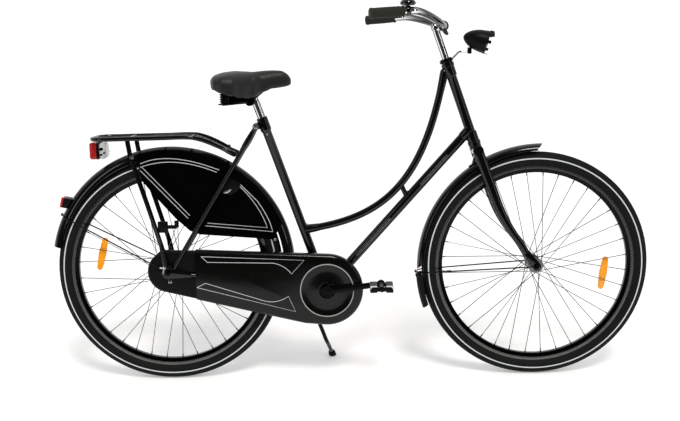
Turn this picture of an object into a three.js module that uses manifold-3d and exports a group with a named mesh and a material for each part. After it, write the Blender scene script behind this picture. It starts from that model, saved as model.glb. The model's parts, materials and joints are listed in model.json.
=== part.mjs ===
// Dutch city bike with a step-through frame, standing on its side stand as in use.
// Lengths are in millimetres and angles in degrees. X points to the front wheel,
// Y to the rider's left and Z up. Pieces are placed on the upright bike, measured
// from the rear axle (X), the middle plane (Y) and the ground (Z). The whole bike
// is then leaned onto its stand.

import * as THREE from "three";
import { mergeVertices } from "three/addons/utils/BufferGeometryUtils.js";
import Module from "manifold-3d";

const wasm = await Module();
wasm.setup();

// Driving sizes: stance and wheels
const fit_gap = 0.3;
const cut_overrun = 4;
const simplify_tolerance = 0.1;
const lean_angle = 5.94;
const wheelbase = 1156;
const tyre_radius = 357.5;
const tyre_width = 46;
const rim_outer_radius = 319;
const rim_depth = 27;
const rim_width = 26;
const rim_well_depth = 9;
const rim_wall = 2;
const rim_base_width = 14;
const rim_shoulder_share = 0.4;
const spoke_count = 36;
const spoke_diameter = 1.8;
const spoke_crossings = 3;
const lacing_share = 0.926;
const spoke_stagger = 4;
const nipple_offset = 2.9;
const axle_diameter = 10;
const wheel_segments = 32;

// Driving sizes: frame
const bracket_ahead = 498;
const bracket_height = 295;
const bracket_shell_diameter = 41;
const bracket_shell_length = 73;
const bracket_bore = 34;
const bracket_cup_bore = 18;
const bracket_cup_depth = 12;
const seat_tube_set_back = 8;
const seat_tube_angle = 70.75;
const seat_tube_length = 571;
const seat_tube_diameter = 28.6;
const seat_tube_bore = 26;
const seat_lug_diameter = 35;
const seat_lug_length = 44;
const head_angle = 71.2;
const head_base_behind = 190.5;
const head_base_height = 744;
const head_tube_start = 8;
const head_tube_length = 242;
const head_tube_diameter = 30.6;
const head_tube_bore = 27.5;
const head_lug_diameter = 37;
const head_lug_length = 30;
const headset_cup_diameter = 41;
const headset_cup_height = 12;
const top_tube_diameter = 23.5;
const top_tube_seat_distance = 194;
const top_tube_head_distance = 241.5;
const top_tube_head_set_back = 16.2;
const top_tube_low_angle = 6.7;
const top_tube_high_angle = 79.4;
const top_tube_low_pull = 259.7;
const top_tube_high_pull = 351.5;
const down_tube_diameter = 30;
const down_tube_head_distance = 45;
const down_tube_drop = 5;
const bridge_diameter = 16;
const bridge_down_distance = 382;
const bridge_top_share = 0.53;
const seat_stay_diameter = 14;
const seat_stay_eye_diameter = 22;
const seat_stay_eye_width = 11;
const seat_stay_root_diameter = 20;
const seat_stay_bolt_down = 28;
const seat_stay_bolt_behind = 25.2;
const seat_web_thickness = 16;
const stay_bolt_diameter = 10;
const stay_bolt_head_diameter = 17;
const stay_bolt_head_height = 6;
const chain_stay_diameter = 18;
const chain_stay_front_spread = 24;
const dropout_spread = 57.5;
const dropout_thickness = 5;
const dropout_radius = 21;
// Chain stay: places behind the bracket, out to the side and above the bracket
const chain_stay_path = [[98, 32, 5], [198, 36, 18]];
const chain_stay_end_ahead = 55;
const chain_stay_end_drop = 7.5;
const seat_stay_taper_share = 0.12;
const seat_stay_root_share = 0.6;
const seat_stay_bend_behind = 22.7;
const seat_stay_bend_down = 37.7;
const seat_stay_bend_out = 38;
const seat_stay_foot_ahead = 18;
const seat_stay_foot_up = 12.5;

// Driving sizes: drive
const chain_line = 45;
const chainring_teeth = 44;
const sprocket_teeth = 19;
const chain_pitch = 12.7;
const chain_width = 8;
const chain_height = 8;
const ring_thickness = 3;
const spindle_diameter = 17;
const crank_length = 170;
const crank_angle = 7;
const crank_inner_face = 73;
const crank_thickness = 13;
const crank_boss_diameter = 36;
const crank_eye_diameter = 26;
const crank_width_wide = 22;
const crank_width_narrow = 17;
const pedal_axle_diameter = 11;
const pedal_length = 71;
const pedal_depth = 68;
const pedal_thickness = 23;
const pedal_crank_gap = 5;
const case_inner_face = 33.5;
const case_cap_face = 55.5;
const case_edge_steps = 2;
const case_turn_points = 18;
const case_stay_clearance = 1.5;
const case_hub_clearance = 1.5;
const case_low_corner_behind = 68;
const case_low_corner_drop = 89;
const case_low_corner_radius = 19;
const case_top_corner_behind = 17;
const case_top_corner_rise = 58.5;
const case_top_corner_radius = 11;
const case_outer_face = 70;
const case_wall = 1.4;
const case_edge_radius = 8;
const case_front_radius = 113.5;
const case_cover_rise = 6;
const case_rear_radius = 66;
const case_seam_ahead = 88;
const disc_radius = 86;
const disc_hole_radius = 24;
const disc_rim_height = 0.5;
const disc_rim_width = 3;
const disc_sheet = 1.6;
const disc_lap = 8;
const chainring_boss_radius = 22;
const driver_radius = 24;
const driver_end = 50;
const spindle_inset = 1;
const crank_arm_inset = 1;
const pedal_wall = 3;
const pedal_block_width = 22;
const pedal_barrel_diameter = 18;
const brake_arm_gap = 1.5;
const brake_arm_thickness = 2.5;
const brake_arm_reach = 150;
const brake_arm_drop = 50;
const brake_arm_end_radius = 7;

// Driving sizes: hubs
const rear_flange_radius = 38;
const rear_flange_spread = 29;
const front_flange_radius = 24;
const front_flange_spread = 31;
const flange_thickness = 3.4;
const hub_barrel_radius = 28;
const front_barrel_radius = 15;
const front_fork_spread = 49;
const front_cone_length = 6;
const axle_cone_diameter = 16;
const axle_nut_across = 17;
const axle_nut_dome = 4;
const axle_dome_share = 0.6;
const axle_nut_height = 9;
const stay_eye_thickness = 1.6;
const stay_eye_diameter = 20;
const rear_hub_left_end = 43;
const rear_hub_right_end = 36;

// Driving sizes: mudguards, coat guards and stays
const rear_guard_radius = 387;
const rear_guard_shift_ahead = 10;
const rear_guard_shift_up = 4;
const rear_guard_front_angle = -4;
const rear_guard_tail_angle = 168.5;
const front_guard_radius = 391.5;
const front_guard_shift_ahead = 19;
const front_guard_shift_up = -8.5;
const front_guard_tip_angle = 89.7;
const front_guard_tail_angle = 184.4;
const guard_width = 58;
const rear_guard_side_depth = 32;
const front_guard_side_depth = 20;
const guard_sheet = 1.2;
const flap_end_angle = 199.4;
const flap_sheet = 2.4;
const stay_wire_diameter = 4.4;
const rear_stay_angle = 153.2;
const front_stay_angle = 181.6;
const flap_lap_angle = 1.8;
// Mudguard reflector corners: distance out from the guard's centre and angle
const reflector_corners = [[378, 143.6], [414.8, 145.7], [404.9, 150.1], [378, 149.2]];
const reflector_width = 44;
const coat_guard_sheet = 1.6;
const coat_guard_clearance = 0.5;
const coat_front_angle = 22;
const coat_rear_angle = 105;
const coat_guard_lower_edge = [
  [-87, 710], [-77, 648], [-45, 606], [-18, 574], [27, 523], [69.5, 484], [100, 472], [329, 453],
];
const coat_lock_slot = [[195, 656], [238, 630], [224.5, 608], [199, 593], [174, 606]];

// Driving sizes: fork, stem, handlebar and lamp
const steerer_diameter = 25.4;
const steerer_bore = 22.8;
const crown_drop = 22;
const crown_height = 26;
const crown_radius = 17;
const crown_tab_angles = [125.3, 120.7];
const crown_tab_thickness = 3;
const crown_tab_width = 18;
const blade_spread_top = 41;
const blade_width_top = 34;
const blade_width_tip = 19;
const blade_depth_top = 20;
const blade_depth_tip = 12;
const locknut_height = 16;
const locknut_diameter = 36;
const quill_diameter = 22.2;
const quill_depth = 112;
const stem_clamp_diameter = 34;
const stem_clamp_width = 38;
const bar_diameter = 22.2;
const bar_grip_start_behind = 133;
const bar_grip_start_out = 253;
const bar_grip_start_up = 36.3;
const grip_length = 102;
const grip_diameter = 31;
const grip_sweep_angle = 15.3;
const grip_drop_angle = 3.3;
const bar_root_pull = 36;
const bar_grip_pull = 40;
const bar_steps = 10;
const bell_radius = 23;
const bell_height = 19;
const lamp_radius = 35;
const lamp_length = 72;
const lamp_tilt = 9.5;
const lamp_sheet = 1.8;
const lamp_front_ahead = 36.4;
const lamp_front_rise = 310.5;
const lamp_profile = [[0, 0], [14, 0.5], [22, 6], [29, 18], [33.5, 36], [35, 58], [35, 72]];
const lamp_pivot_behind = 15.5;
const lamp_pivot_rise = 282;
const lamp_pin_diameter = 5;
const lamp_eye_diameter = 12;
const lamp_eye_half = 4;
const lamp_tab_half = 6;
const lamp_tab_height = 14;
const lamp_tab_thickness = 2.5;
const lamp_ring_height = 9;
const lamp_ring_diameter = 43;
const lamp_bracket_diameter = 7;
// Lamp bracket: places ahead of the head tube's foot and above it
const lamp_bracket_path = [[-57.5, 273], [-46.5, 282], [-29.5, 284]];
const lamp_visor_length = 24;
const lamp_visor_lap = 4;
const lamp_visor_width = 44;
const lamp_visor_rise_share = 0.45;
const lamp_lens_depth = 4;
const lamp_lens_bulge = 5;
const crown_race_diameter = 38;
const blade_spread_tip = 52;
// Fork blade: places ahead of the front axle and above it
const blade_path = [
  [-183.4, 365.5], [-144.5, 258.5], [-113, 175.5], [-94, 138.5], [-72, 103.5], [-46, 67.5], [-32, 44.5],
];
const front_dropout_radius = 14;
const quill_top = 384;
const bar_centre_behind = 98;
const bar_centre_rise = 362;
const grip_end_wall = 2.5;
const grip_waist_share = 0.93;
const bell_clamp_width = 12;
const bell_clamp_diameter = 30;
const bell_rise = 17;
const bell_sheet = 1.5;
const bell_post_diameter = 8;
const bell_lever_offset = 15;
const bell_lever_length = 26;
const bell_lever_thickness = 2.5;
const bell_pin_diameter = 4;

// Driving sizes: saddle, carrier and stand
const seat_post_diameter = 25.4;
const seat_post_rise = 77;
const seat_post_depth = 150;
const saddle_clamp_behind = 8.67;
const saddle_clamp_drop = 20.77;
const saddle_eye_diameter = 20;
const saddle_eye_half = 13.5;
const saddle_bolt_diameter = 8;
const saddle_disc_diameter = 30;
const saddle_disc_thickness = 8;
const saddle_section_steps = 12;
const saddle_draw_share = 0.1;
const saddle_square_power = 0.8;
const saddle_crown_power = 0.6;
// Saddle rows: place ahead of the clamp, half width, and the top, skirt edge and underside heights
// above the clamp
const saddle_rows = [
  [-121.7, 34, 64, 52, 55], [-116.7, 62, 75, 43, 50], [-104.7, 88, 84, 35, 44], [-77.7, 104, 90, 25, 37],
  [-46.7, 100, 92, 16, 36], [-17.7, 80, 90, 10, 38], [13.3, 54, 88, 20, 42], [42.3, 38, 91, 34, 46],
  [73.3, 30, 94, 40, 50], [100.3, 26, 93, 44, 52], [120.3, 19, 77, 47, 53], [130.3, 9, 59, 51, 54],
];
// Saddle rail: places ahead of the clamp, out to the side and above the clamp
const rail_path = [[104.3, 10, 60], [82.3, 13, 43], [42.3, 18, 13], [0.3, 19, 0], [-42.7, 30, -6], [-81.7, 45, -9]];
const spring_behind = 74.7;
const spring_spread = 45;
const spring_drop = 5;
const spring_height = 37;
const spring_plate_thickness = 4;
const spring_wire = 4.6;
const spring_diameter = 30;
const spring_curls = 4.5;
const rail_diameter = 7;
const carrier_height = 780;
const carrier_tail_behind = 222;
const carrier_bend_ahead = 92;
const carrier_nose_ahead = 212;
const carrier_nose_height = 725;
const carrier_half_width = 66;
const carrier_nose_half_width = 33;
const carrier_tube_diameter = 14;
const carrier_corner_radius = 26;
const carrier_tail_drop = 2;
const carrier_bar_diameter = 7;
const carrier_bar_places = [-105, -8, 84];
const carrier_leg_path = [[-108, 775], [-100, 723], [-54, 573], [-16, 443], [0, tyre_radius]];
const carrier_leg_width = 15;
const carrier_leg_eye_diameter = 22;
const carrier_leg_thickness = 3;
const carrier_lamp_plate_width = 40;
const carrier_lamp_plate_thickness = 3;
const rear_light_plate_ahead = 24;
const rear_light_tail = -236;
const rear_light_seam = -212;
const rear_light_front = -184;
const rear_light_low = 713;
const rear_light_top = 766;
const rear_light_width = 60;
const rear_light_round = 10;
const spoke_reflector_radius = 223;
const spoke_reflector_length = 106;
const spoke_reflector_width = 20;
const spoke_reflector_thickness = 12.5;
const rear_reflector_turn = 166.7;
const front_reflector_turn = -8.7;
const stand_pivot_behind = 66;
const stand_pivot_out = 44;
const stand_pivot_drop = 44;
const stand_foot_ahead = 75.5;
const stand_foot_out = 165;
const stand_axis_tilt = 10;
const stand_leg_diameter = 13;
const stand_foot_diameter = 25;
const stand_foot_length = 27;
const stand_knee_ahead = 64.2;
const stand_knee_out = 100;
const stand_knee_height = 69.8;
// Stand leg: places ahead of the pivot, out to the side and above the ground
const stand_leg_path = [[30.2, 57, 170.4], [45.3, 61, 130.4], [55.3, 68.5, 100]];
const stand_barrel_diameter = 22;
const stand_barrel_length = 16;
const stand_pin_diameter = 10;
const stand_pin_head_diameter = 18;
const stand_block_length = 36;
const stand_block_width = 56;
const stand_block_shift = 3;
const stand_block_drop = 55;
const stand_block_height = 56;
const stand_plate_rise = 14;
const stand_plate_thickness = 5;
const stand_bolt_diameter = 10;

// Worked-out places
const DEG = THREE.MathUtils.DEG2RAD;
const half_gap = fit_gap / 2;
const bracket = new THREE.Vector3(bracket_ahead, 0, bracket_height);
const seat_base = new THREE.Vector3(bracket_ahead - seat_tube_set_back, 0, bracket_height);
const rear_axle_centre = new THREE.Vector3(0, 0, tyre_radius);
const front_axle_centre = new THREE.Vector3(wheelbase, 0, tyre_radius);
const seat_direction = new THREE.Vector3(-Math.cos(seat_tube_angle * DEG), 0, Math.sin(seat_tube_angle * DEG));
const head_direction = new THREE.Vector3(-Math.cos(head_angle * DEG), 0, Math.sin(head_angle * DEG));
const head_forward = new THREE.Vector3(Math.sin(head_angle * DEG), 0, Math.cos(head_angle * DEG));
const head_base = new THREE.Vector3(wheelbase - head_base_behind, 0, head_base_height);
const across = new THREE.Vector3(0, 1, 0);
const sides = { right: -1, left: 1 };

// Colours and finishes
function finish(colour, roughness, metalness) {
  return new THREE.MeshStandardMaterial({ color: colour, roughness, metalness });
}
const rim_inner_radius = rim_outer_radius - rim_depth;
const black_paint = finish(0x0b0b0c, 0.25, 0);
const black_plastic = finish(0x151515, 0.5, 0);
const case_plastic = finish(0x101011, 0.3, 0);
const guard_vinyl = finish(0x0a0a0b, 0.45, 0);
const chrome = finish(0xd8dadc, 0.12, 1);
const steel = finish(0x8b8d90, 0.4, 1);
const dark_steel = finish(0x3a3a3c, 0.5, 1);
const rubber = finish(0x141414, 0.8, 0);
const grip_rubber = finish(0x24221f, 0.75, 0);
const cover_skin = finish(0x26262a, 0.6, 0);
const red_lens = finish(0xa01010, 0.2, 0);
const orange_lens = finish(0xe06010, 0.25, 0);
const clear_lens = finish(0xe8eef0, 0.1, 0);
const spring_black = finish(0x18181a, 0.4, 0.6);

// Places on the two main axes
function on_seat_axis(distance) {
  return seat_base.clone().addScaledVector(seat_direction, distance);
}
function on_head_axis(distance) {
  return head_base.clone().addScaledVector(head_direction, distance);
}
function place(x, y, z) {
  return new THREE.Vector3(x, y, z);
}
function polar(centre, radius, angle, y) {
  return place(centre.x + radius * Math.cos(angle), y, centre.z + radius * Math.sin(angle));
}

// Solids: closed meshes that can be joined and cut
function signed_volume(positions, index) {
  const a = new THREE.Vector3();
  const b = new THREE.Vector3();
  const c = new THREE.Vector3();
  let sum = 0;
  for (let i = 0; i < index.length; i += 3) {
    a.fromArray(positions, 3 * index[i]);
    b.fromArray(positions, 3 * index[i + 1]);
    c.fromArray(positions, 3 * index[i + 2]);
    sum += a.dot(b.cross(c));
  }
  return sum;
}

function solid(geometry) {
  const bare = geometry.clone();
  bare.deleteAttribute("normal");
  bare.deleteAttribute("uv");
  const merged = mergeVertices(bare, fit_gap / 1000);
  const positions = Float32Array.from(merged.attributes.position.array);
  const corners = merged.index.array;
  const kept = [];
  for (let i = 0; i < corners.length; i += 3) {
    const [a, b, c] = [corners[i], corners[i + 1], corners[i + 2]];
    if (a !== b && b !== c && c !== a) kept.push(a, b, c);
  }
  const index = Uint32Array.from(kept);
  if (signed_volume(positions, index) < 0) {
    for (let i = 0; i < index.length; i += 3) {
      [index[i + 1], index[i + 2]] = [index[i + 2], index[i + 1]];
    }
  }
  return new wasm.Manifold(new wasm.Mesh({ numProp: 3, vertProperties: positions, triVerts: index }));
}

function joined(...pieces) {
  return pieces.reduce((whole, piece) => whole.add(piece));
}

function cut(body, ...tools) {
  return tools.reduce((rest, tool) => rest.subtract(tool), body);
}

// Basic shapes
function ring_of_points(radius_x, radius_y, count, turn = 0.5) {
  const points = [];
  for (let i = 0; i < count; i++) {
    const angle = (2 * Math.PI * (i + turn)) / count;
    points.push(new THREE.Vector2(radius_x * Math.cos(angle), radius_y * Math.sin(angle)));
  }
  return points;
}

function align(geometry, direction, start) {
  const turn = new THREE.Quaternion().setFromUnitVectors(across, direction.clone().normalize());
  geometry.applyQuaternion(turn);
  geometry.translate(start.x, start.y, start.z);
  return geometry;
}

function rod(start, end, diameter, sides_round = 14, end_diameter = diameter) {
  const length = start.distanceTo(end);
  const geometry = new THREE.CylinderGeometry(end_diameter / 2, diameter / 2, length, sides_round);
  geometry.translate(0, length / 2, 0);
  return solid(align(geometry, end.clone().sub(start), start));
}

function cross_rod(x, z, from_y, to_y, diameter, sides_round = 14) {
  return rod(place(x, Math.min(from_y, to_y), z), place(x, Math.max(from_y, to_y), z), diameter, sides_round);
}

// A turned piece: profile points are [radius, height] along the direction
function turned(profile, start, direction, segments = 20, first_angle = 0) {
  const points = profile.map(([radius, height]) => new THREE.Vector2(radius, height));
  points.push(points[0].clone());
  return solid(align(new THREE.LatheGeometry(points, segments, first_angle), direction, start));
}

function tube(start, direction, length, outer_diameter, inner_diameter, segments = 20) {
  return turned(
    [[inner_diameter / 2, 0], [outer_diameter / 2, 0], [outer_diameter / 2, length], [inner_diameter / 2, length]],
    start, direction, segments);
}

function bent_rod(curve, diameter, steps, sides_round = 10) {
  const section = new THREE.Shape(ring_of_points(diameter / 2, diameter / 2, sides_round));
  return solid(new THREE.ExtrudeGeometry(section, { steps, extrudePath: curve, bevelEnabled: false }));
}

// A flat piece in the side plane: outline points are [x, z], from_y to to_y thick
function plate(outline, from_y, to_y, holes = []) {
  const shape = new THREE.Shape(outline.map(([x, z]) => new THREE.Vector2(x, z)));
  for (const hole of holes) shape.holes.push(new THREE.Path(hole.map(([x, z]) => new THREE.Vector2(x, z))));
  const geometry = new THREE.ExtrudeGeometry(shape, { depth: Math.abs(to_y - from_y), bevelEnabled: false });
  geometry.rotateX(Math.PI / 2);
  geometry.translate(0, Math.max(from_y, to_y), 0);
  return solid(geometry);
}

// The outline of a strip of one width that follows [x, z] points
function strip_outline(points, width) {
  const offset = points.map(([x, z], i) => {
    const [from_x, from_z] = points[Math.max(0, i - 1)];
    const [to_x, to_z] = points[Math.min(points.length - 1, i + 1)];
    const length = Math.hypot(to_x - from_x, to_z - from_z);
    return [(-width * (to_z - from_z)) / (2 * length), (width * (to_x - from_x)) / (2 * length)];
  });
  return [
    ...points.map(([x, z], i) => [x - offset[i][0], z - offset[i][1]]),
    ...points.map(([x, z], i) => [x + offset[i][0], z + offset[i][1]]).reverse(),
  ];
}

function block(x_size, y_size, z_size, centre) {
  const geometry = new THREE.BoxGeometry(x_size, y_size, z_size);
  geometry.translate(centre.x, centre.y, centre.z);
  return solid(geometry);
}

// An arc in the side plane, about a wheel's centre
class WheelArc extends THREE.Curve {
  constructor(centre, radius, from_angle, to_angle) {
    super();
    Object.assign(this, { centre, radius, from_angle, to_angle });
  }
  getPoint(share, target = new THREE.Vector3()) {
    const angle = (this.from_angle + (this.to_angle - this.from_angle) * share) * DEG;
    return target.copy(polar(this.centre, this.radius, angle, 0));
  }
}

// A loft through rings of points, closed by a fan at each end
function lofted(rings) {
  const count = rings[0].length;
  const positions = rings.flat().flatMap((point) => [point.x, point.y, point.z]);
  const index = [];
  for (let row = 0; row + 1 < rings.length; row++) {
    for (let i = 0; i < count; i++) {
      const a = row * count + i;
      const b = row * count + ((i + 1) % count);
      index.push(a, b, b + count, a, b + count, a + count);
    }
  }
  const last = (rings.length - 1) * count;
  for (let i = 1; i + 1 < count; i++) {
    index.push(0, i + 1, i);
    index.push(last, last + i, last + i + 1);
  }
  const geometry = new THREE.BufferGeometry();
  geometry.setAttribute("position", new THREE.Float32BufferAttribute(positions, 3));
  geometry.setIndex(index);
  return solid(geometry);
}

// A round wire through given points, kept at full width round each bend
function wire(points, reference, diameter, sides_round) {
  const rings = points.map((point, i) => {
    const before = i > 0 ? point.clone().sub(points[i - 1]).normalize() : null;
    const after = i + 1 < points.length ? points[i + 1].clone().sub(point).normalize() : null;
    const along = before && after ? before.clone().add(after).normalize() : before ?? after;
    const stretch = before && after ? 1 / along.dot(after) : 1;
    const sideways = along.clone().cross(reference).normalize();
    const upward = sideways.clone().cross(along);
    return ring_of_points(stretch * diameter / 2, diameter / 2, sides_round).map((offset) =>
      point.clone().addScaledVector(sideways, offset.x).addScaledVector(upward, offset.y));
  });
  return lofted(rings);
}

// A prism over an outline of [along x_axis, along y_axis] points
function prism(outline, origin, x_axis, y_axis, from, to) {
  const shape = new THREE.Shape(outline.map(([x, y]) => new THREE.Vector2(x, y)));
  const geometry = new THREE.ExtrudeGeometry(shape, { depth: to - from, bevelEnabled: false });
  geometry.translate(0, 0, from);
  const z_axis = x_axis.clone().cross(y_axis);
  geometry.applyMatrix4(new THREE.Matrix4().makeBasis(x_axis, y_axis, z_axis).setPosition(origin));
  return solid(geometry);
}

// The outline of a belt round circles given counterclockwise as [x, z, radius]
function belt_outline(circles, inset = 0, points_per_turn = 28) {
  const outline = [];
  const normal_to_next = circles.map(([x, z, radius], i) => {
    const [next_x, next_z, next_radius] = circles[(i + 1) % circles.length];
    const reach = Math.hypot(next_x - x, next_z - z);
    return Math.atan2(next_z - z, next_x - x) - Math.acos((radius - next_radius) / reach);
  });
  circles.forEach(([x, z, radius], i) => {
    const from = normal_to_next[(i + circles.length - 1) % circles.length];
    let to = normal_to_next[i];
    while (to < from) to += 2 * Math.PI;
    const steps = Math.max(2, Math.round(((to - from) / (2 * Math.PI)) * points_per_turn));
    for (let step = 0; step <= steps; step++) {
      const angle = from + ((to - from) * step) / steps;
      outline.push([x + (radius - inset) * Math.cos(angle), z + (radius - inset) * Math.sin(angle)]);
    }
  });
  return outline;
}

// The model
const bike = new THREE.Group();

function add(name, body, material) {
  const mesh_data = body.simplify(simplify_tolerance).getMesh();
  const geometry = new THREE.BufferGeometry();
  geometry.setAttribute("position", new THREE.BufferAttribute(Float32Array.from(mesh_data.vertProperties), 3));
  geometry.setIndex(new THREE.BufferAttribute(Uint32Array.from(mesh_data.triVerts), 1));
  geometry.computeVertexNormals();
  const mesh = new THREE.Mesh(geometry, material);
  mesh.name = name;
  bike.add(mesh);
  return mesh;
}

// Wheels
function add_wheel(prefix, centre, hub) {
  const tube_radius = tyre_width / 2;
  const crown_radius_of_tyre = tyre_radius / Math.cos(Math.PI / wheel_segments) - tube_radius;
  const well_radius = rim_outer_radius - rim_well_depth;
  const bead = rim_width / 2 - rim_wall - fit_gap;
  const from_angle = Math.asin((rim_outer_radius + fit_gap - crown_radius_of_tyre) / tube_radius);
  const arc_points = 6;
  const tyre_profile = [[well_radius + fit_gap, bead], [rim_outer_radius + fit_gap, bead]];
  for (let i = 0; i < arc_points; i++) {
    const angle = from_angle + ((Math.PI - 2 * from_angle) * i) / (arc_points - 1);
    tyre_profile.push([crown_radius_of_tyre + tube_radius * Math.sin(angle), tube_radius * Math.cos(angle)]);
  }
  tyre_profile.push([rim_outer_radius + fit_gap, -bead], [well_radius + fit_gap, -bead]);
  add(`${prefix}_tyre`, turned(tyre_profile, centre, across, wheel_segments, Math.PI / wheel_segments), rubber);

  const shoulder_radius = rim_inner_radius + (rim_outer_radius - rim_inner_radius) * rim_shoulder_share;
  const rim_profile = [
    [rim_inner_radius, -rim_base_width / 2], [rim_inner_radius, rim_base_width / 2],
    [shoulder_radius, rim_width / 2], [rim_outer_radius, rim_width / 2],
    [rim_outer_radius, rim_width / 2 - rim_wall], [well_radius, rim_width / 2 - rim_wall],
    [well_radius, rim_wall - rim_width / 2], [rim_outer_radius, rim_wall - rim_width / 2],
    [rim_outer_radius, -rim_width / 2], [shoulder_radius, -rim_width / 2],
  ];
  add(`${prefix}_rim`, turned(rim_profile, centre, across, wheel_segments, Math.PI / wheel_segments), black_paint);

  let spokes = turned(hub.profile, centre, across, 10);
  const spokes_per_side = spoke_count / 2;
  const reach = rim_inner_radius * Math.cos(Math.PI / wheel_segments) - fit_gap;
  const lace_turn = (2 * Math.PI * lacing_share * 2 * spoke_crossings) / spokes_per_side;
  for (let i = 0; i < spoke_count; i++) {
    const side = i % 2 ? 1 : -1;
    const trailing = Math.floor(i / 2) % 2 ? 1 : -1;
    const rim_angle = (2 * Math.PI * (i + 0.5)) / spoke_count;
    const hub_angle = rim_angle + trailing * lace_turn;
    const hub_y = side * hub.spread + (trailing * spoke_stagger) / 2;
    const start = polar(centre, hub.flange - spoke_diameter, hub_angle, hub_y);
    const end = polar(centre, reach, rim_angle, side * nipple_offset);
    spokes = spokes.add(rod(start, end, spoke_diameter, 3));
  }
  add(`${prefix}_hub_and_spokes`, spokes, steel);
}

const hub_bore = axle_diameter / 2 + fit_gap;
const flange_half = flange_thickness / 2 + spoke_stagger / 2;
add_wheel("rear", rear_axle_centre, {
  spread: rear_flange_spread,
  flange: rear_flange_radius,
  profile: [
    [hub_bore, -rear_hub_right_end], [hub_barrel_radius, -rear_hub_right_end],
    [hub_barrel_radius, -rear_flange_spread - flange_half], [rear_flange_radius, -rear_flange_spread - flange_half],
    [rear_flange_radius, flange_half - rear_flange_spread], [hub_barrel_radius, flange_half - rear_flange_spread],
    [hub_barrel_radius, rear_flange_spread - flange_half], [rear_flange_radius, rear_flange_spread - flange_half],
    [rear_flange_radius, rear_flange_spread + flange_half], [hub_barrel_radius, rear_flange_spread + flange_half],
    [hub_barrel_radius, rear_hub_left_end], [hub_bore, rear_hub_left_end],
  ],
});
const front_hub_end = front_fork_spread - front_cone_length - fit_gap;
add_wheel("front", front_axle_centre, {
  spread: front_flange_spread,
  flange: front_flange_radius,
  profile: [
    [hub_bore, -front_hub_end], [front_barrel_radius, -front_hub_end],
    [front_barrel_radius, -front_flange_spread - flange_half], [front_flange_radius, -front_flange_spread - flange_half],
    [front_flange_radius, flange_half - front_flange_spread], [front_barrel_radius, flange_half - front_flange_spread],
    [front_barrel_radius, front_flange_spread - flange_half], [front_flange_radius, front_flange_spread - flange_half],
    [front_flange_radius, front_flange_spread + flange_half], [front_barrel_radius, front_flange_spread + flange_half],
    [front_barrel_radius, front_hub_end], [hub_bore, front_hub_end],
  ],
});

// Frame tubes: each is mitred, with a small gap, round the tube that it is brazed to
const seat_top = on_seat_axis(seat_tube_length);
const head_start = on_head_axis(head_tube_start);
const head_end_distance = head_tube_start + head_tube_length;
const cup_bore = steerer_diameter + 4 * fit_gap;
const shell_cutter = cross_rod(bracket.x, bracket.z, -bracket_shell_length, bracket_shell_length,
  bracket_shell_diameter + 2 * fit_gap, 16);
const head_cutter = rod(on_head_axis(-head_lug_length), on_head_axis(head_end_distance + head_lug_length),
  head_lug_diameter + 4 * fit_gap, 16);

// Head tube with its two lugs and the pressed-in headset cups, as one profile
{
  const outer = head_tube_diameter / 2;
  const lug = head_lug_diameter / 2;
  const cup = headset_cup_diameter / 2;
  const bore = head_tube_bore / 2;
  const top = head_tube_length;
  add("head_tube", turned([
    [cup_bore / 2, -headset_cup_height], [cup, -headset_cup_height], [cup, 0], [lug, 0], [lug, head_lug_length],
    [outer, head_lug_length], [outer, top - head_lug_length], [lug, top - head_lug_length], [lug, top],
    [cup, top], [cup, top + headset_cup_height], [cup_bore / 2, top + headset_cup_height],
    [cup_bore / 2, top], [bore, top], [bore, 0], [cup_bore / 2, 0],
  ], head_start, head_direction, 12), black_paint);
}

// Top tube: a swan-neck curve from low on the seat tube to the upper head lug
const top_tube_low = on_seat_axis(top_tube_seat_distance);
const top_tube_high = on_head_axis(top_tube_head_distance)
  .addScaledVector(head_forward, -top_tube_head_set_back);
const low_pull = place(Math.cos(top_tube_low_angle * DEG), 0, Math.sin(top_tube_low_angle * DEG));
const high_pull = place(-Math.cos(top_tube_high_angle * DEG), 0, -Math.sin(top_tube_high_angle * DEG));
const top_tube_curve = new THREE.CubicBezierCurve3(
  top_tube_low,
  top_tube_low.clone().addScaledVector(low_pull, top_tube_low_pull),
  top_tube_high.clone().addScaledVector(high_pull, top_tube_high_pull),
  top_tube_high);
const seat_cutter = rod(seat_base, seat_top, seat_tube_diameter + 4 * fit_gap, 16);
const cup_cutter = rod(on_head_axis(head_end_distance - fit_gap), on_head_axis(head_end_distance + head_lug_length),
  headset_cup_diameter + 2 * fit_gap, 16);
add("top_tube", cut(bent_rod(top_tube_curve, top_tube_diameter, 16, 8), seat_cutter, head_cutter, cup_cutter),
  black_paint);

// Down tube with the short bridge that braces it against the top tube
const down_tube_low = place(bracket.x, 0, bracket.z - down_tube_drop);
const down_tube_high = on_head_axis(down_tube_head_distance);
const down_direction = down_tube_high.clone().sub(down_tube_low).normalize();
{
  const bridge_low = down_tube_low.clone().addScaledVector(down_direction, bridge_down_distance);
  const bridge_high = top_tube_curve.getPoint(bridge_top_share);
  const top_tube_cutter = bent_rod(top_tube_curve, top_tube_diameter + 2 * fit_gap, 16, 8);
  const tube_body = cut(rod(down_tube_low, down_tube_high, down_tube_diameter, 12),
    shell_cutter, head_cutter, seat_cutter);
  const bridge = cut(rod(bridge_low, bridge_high, bridge_diameter, 8), top_tube_cutter);
  add("down_tube", joined(tube_body, bridge), black_paint);
}

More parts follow.
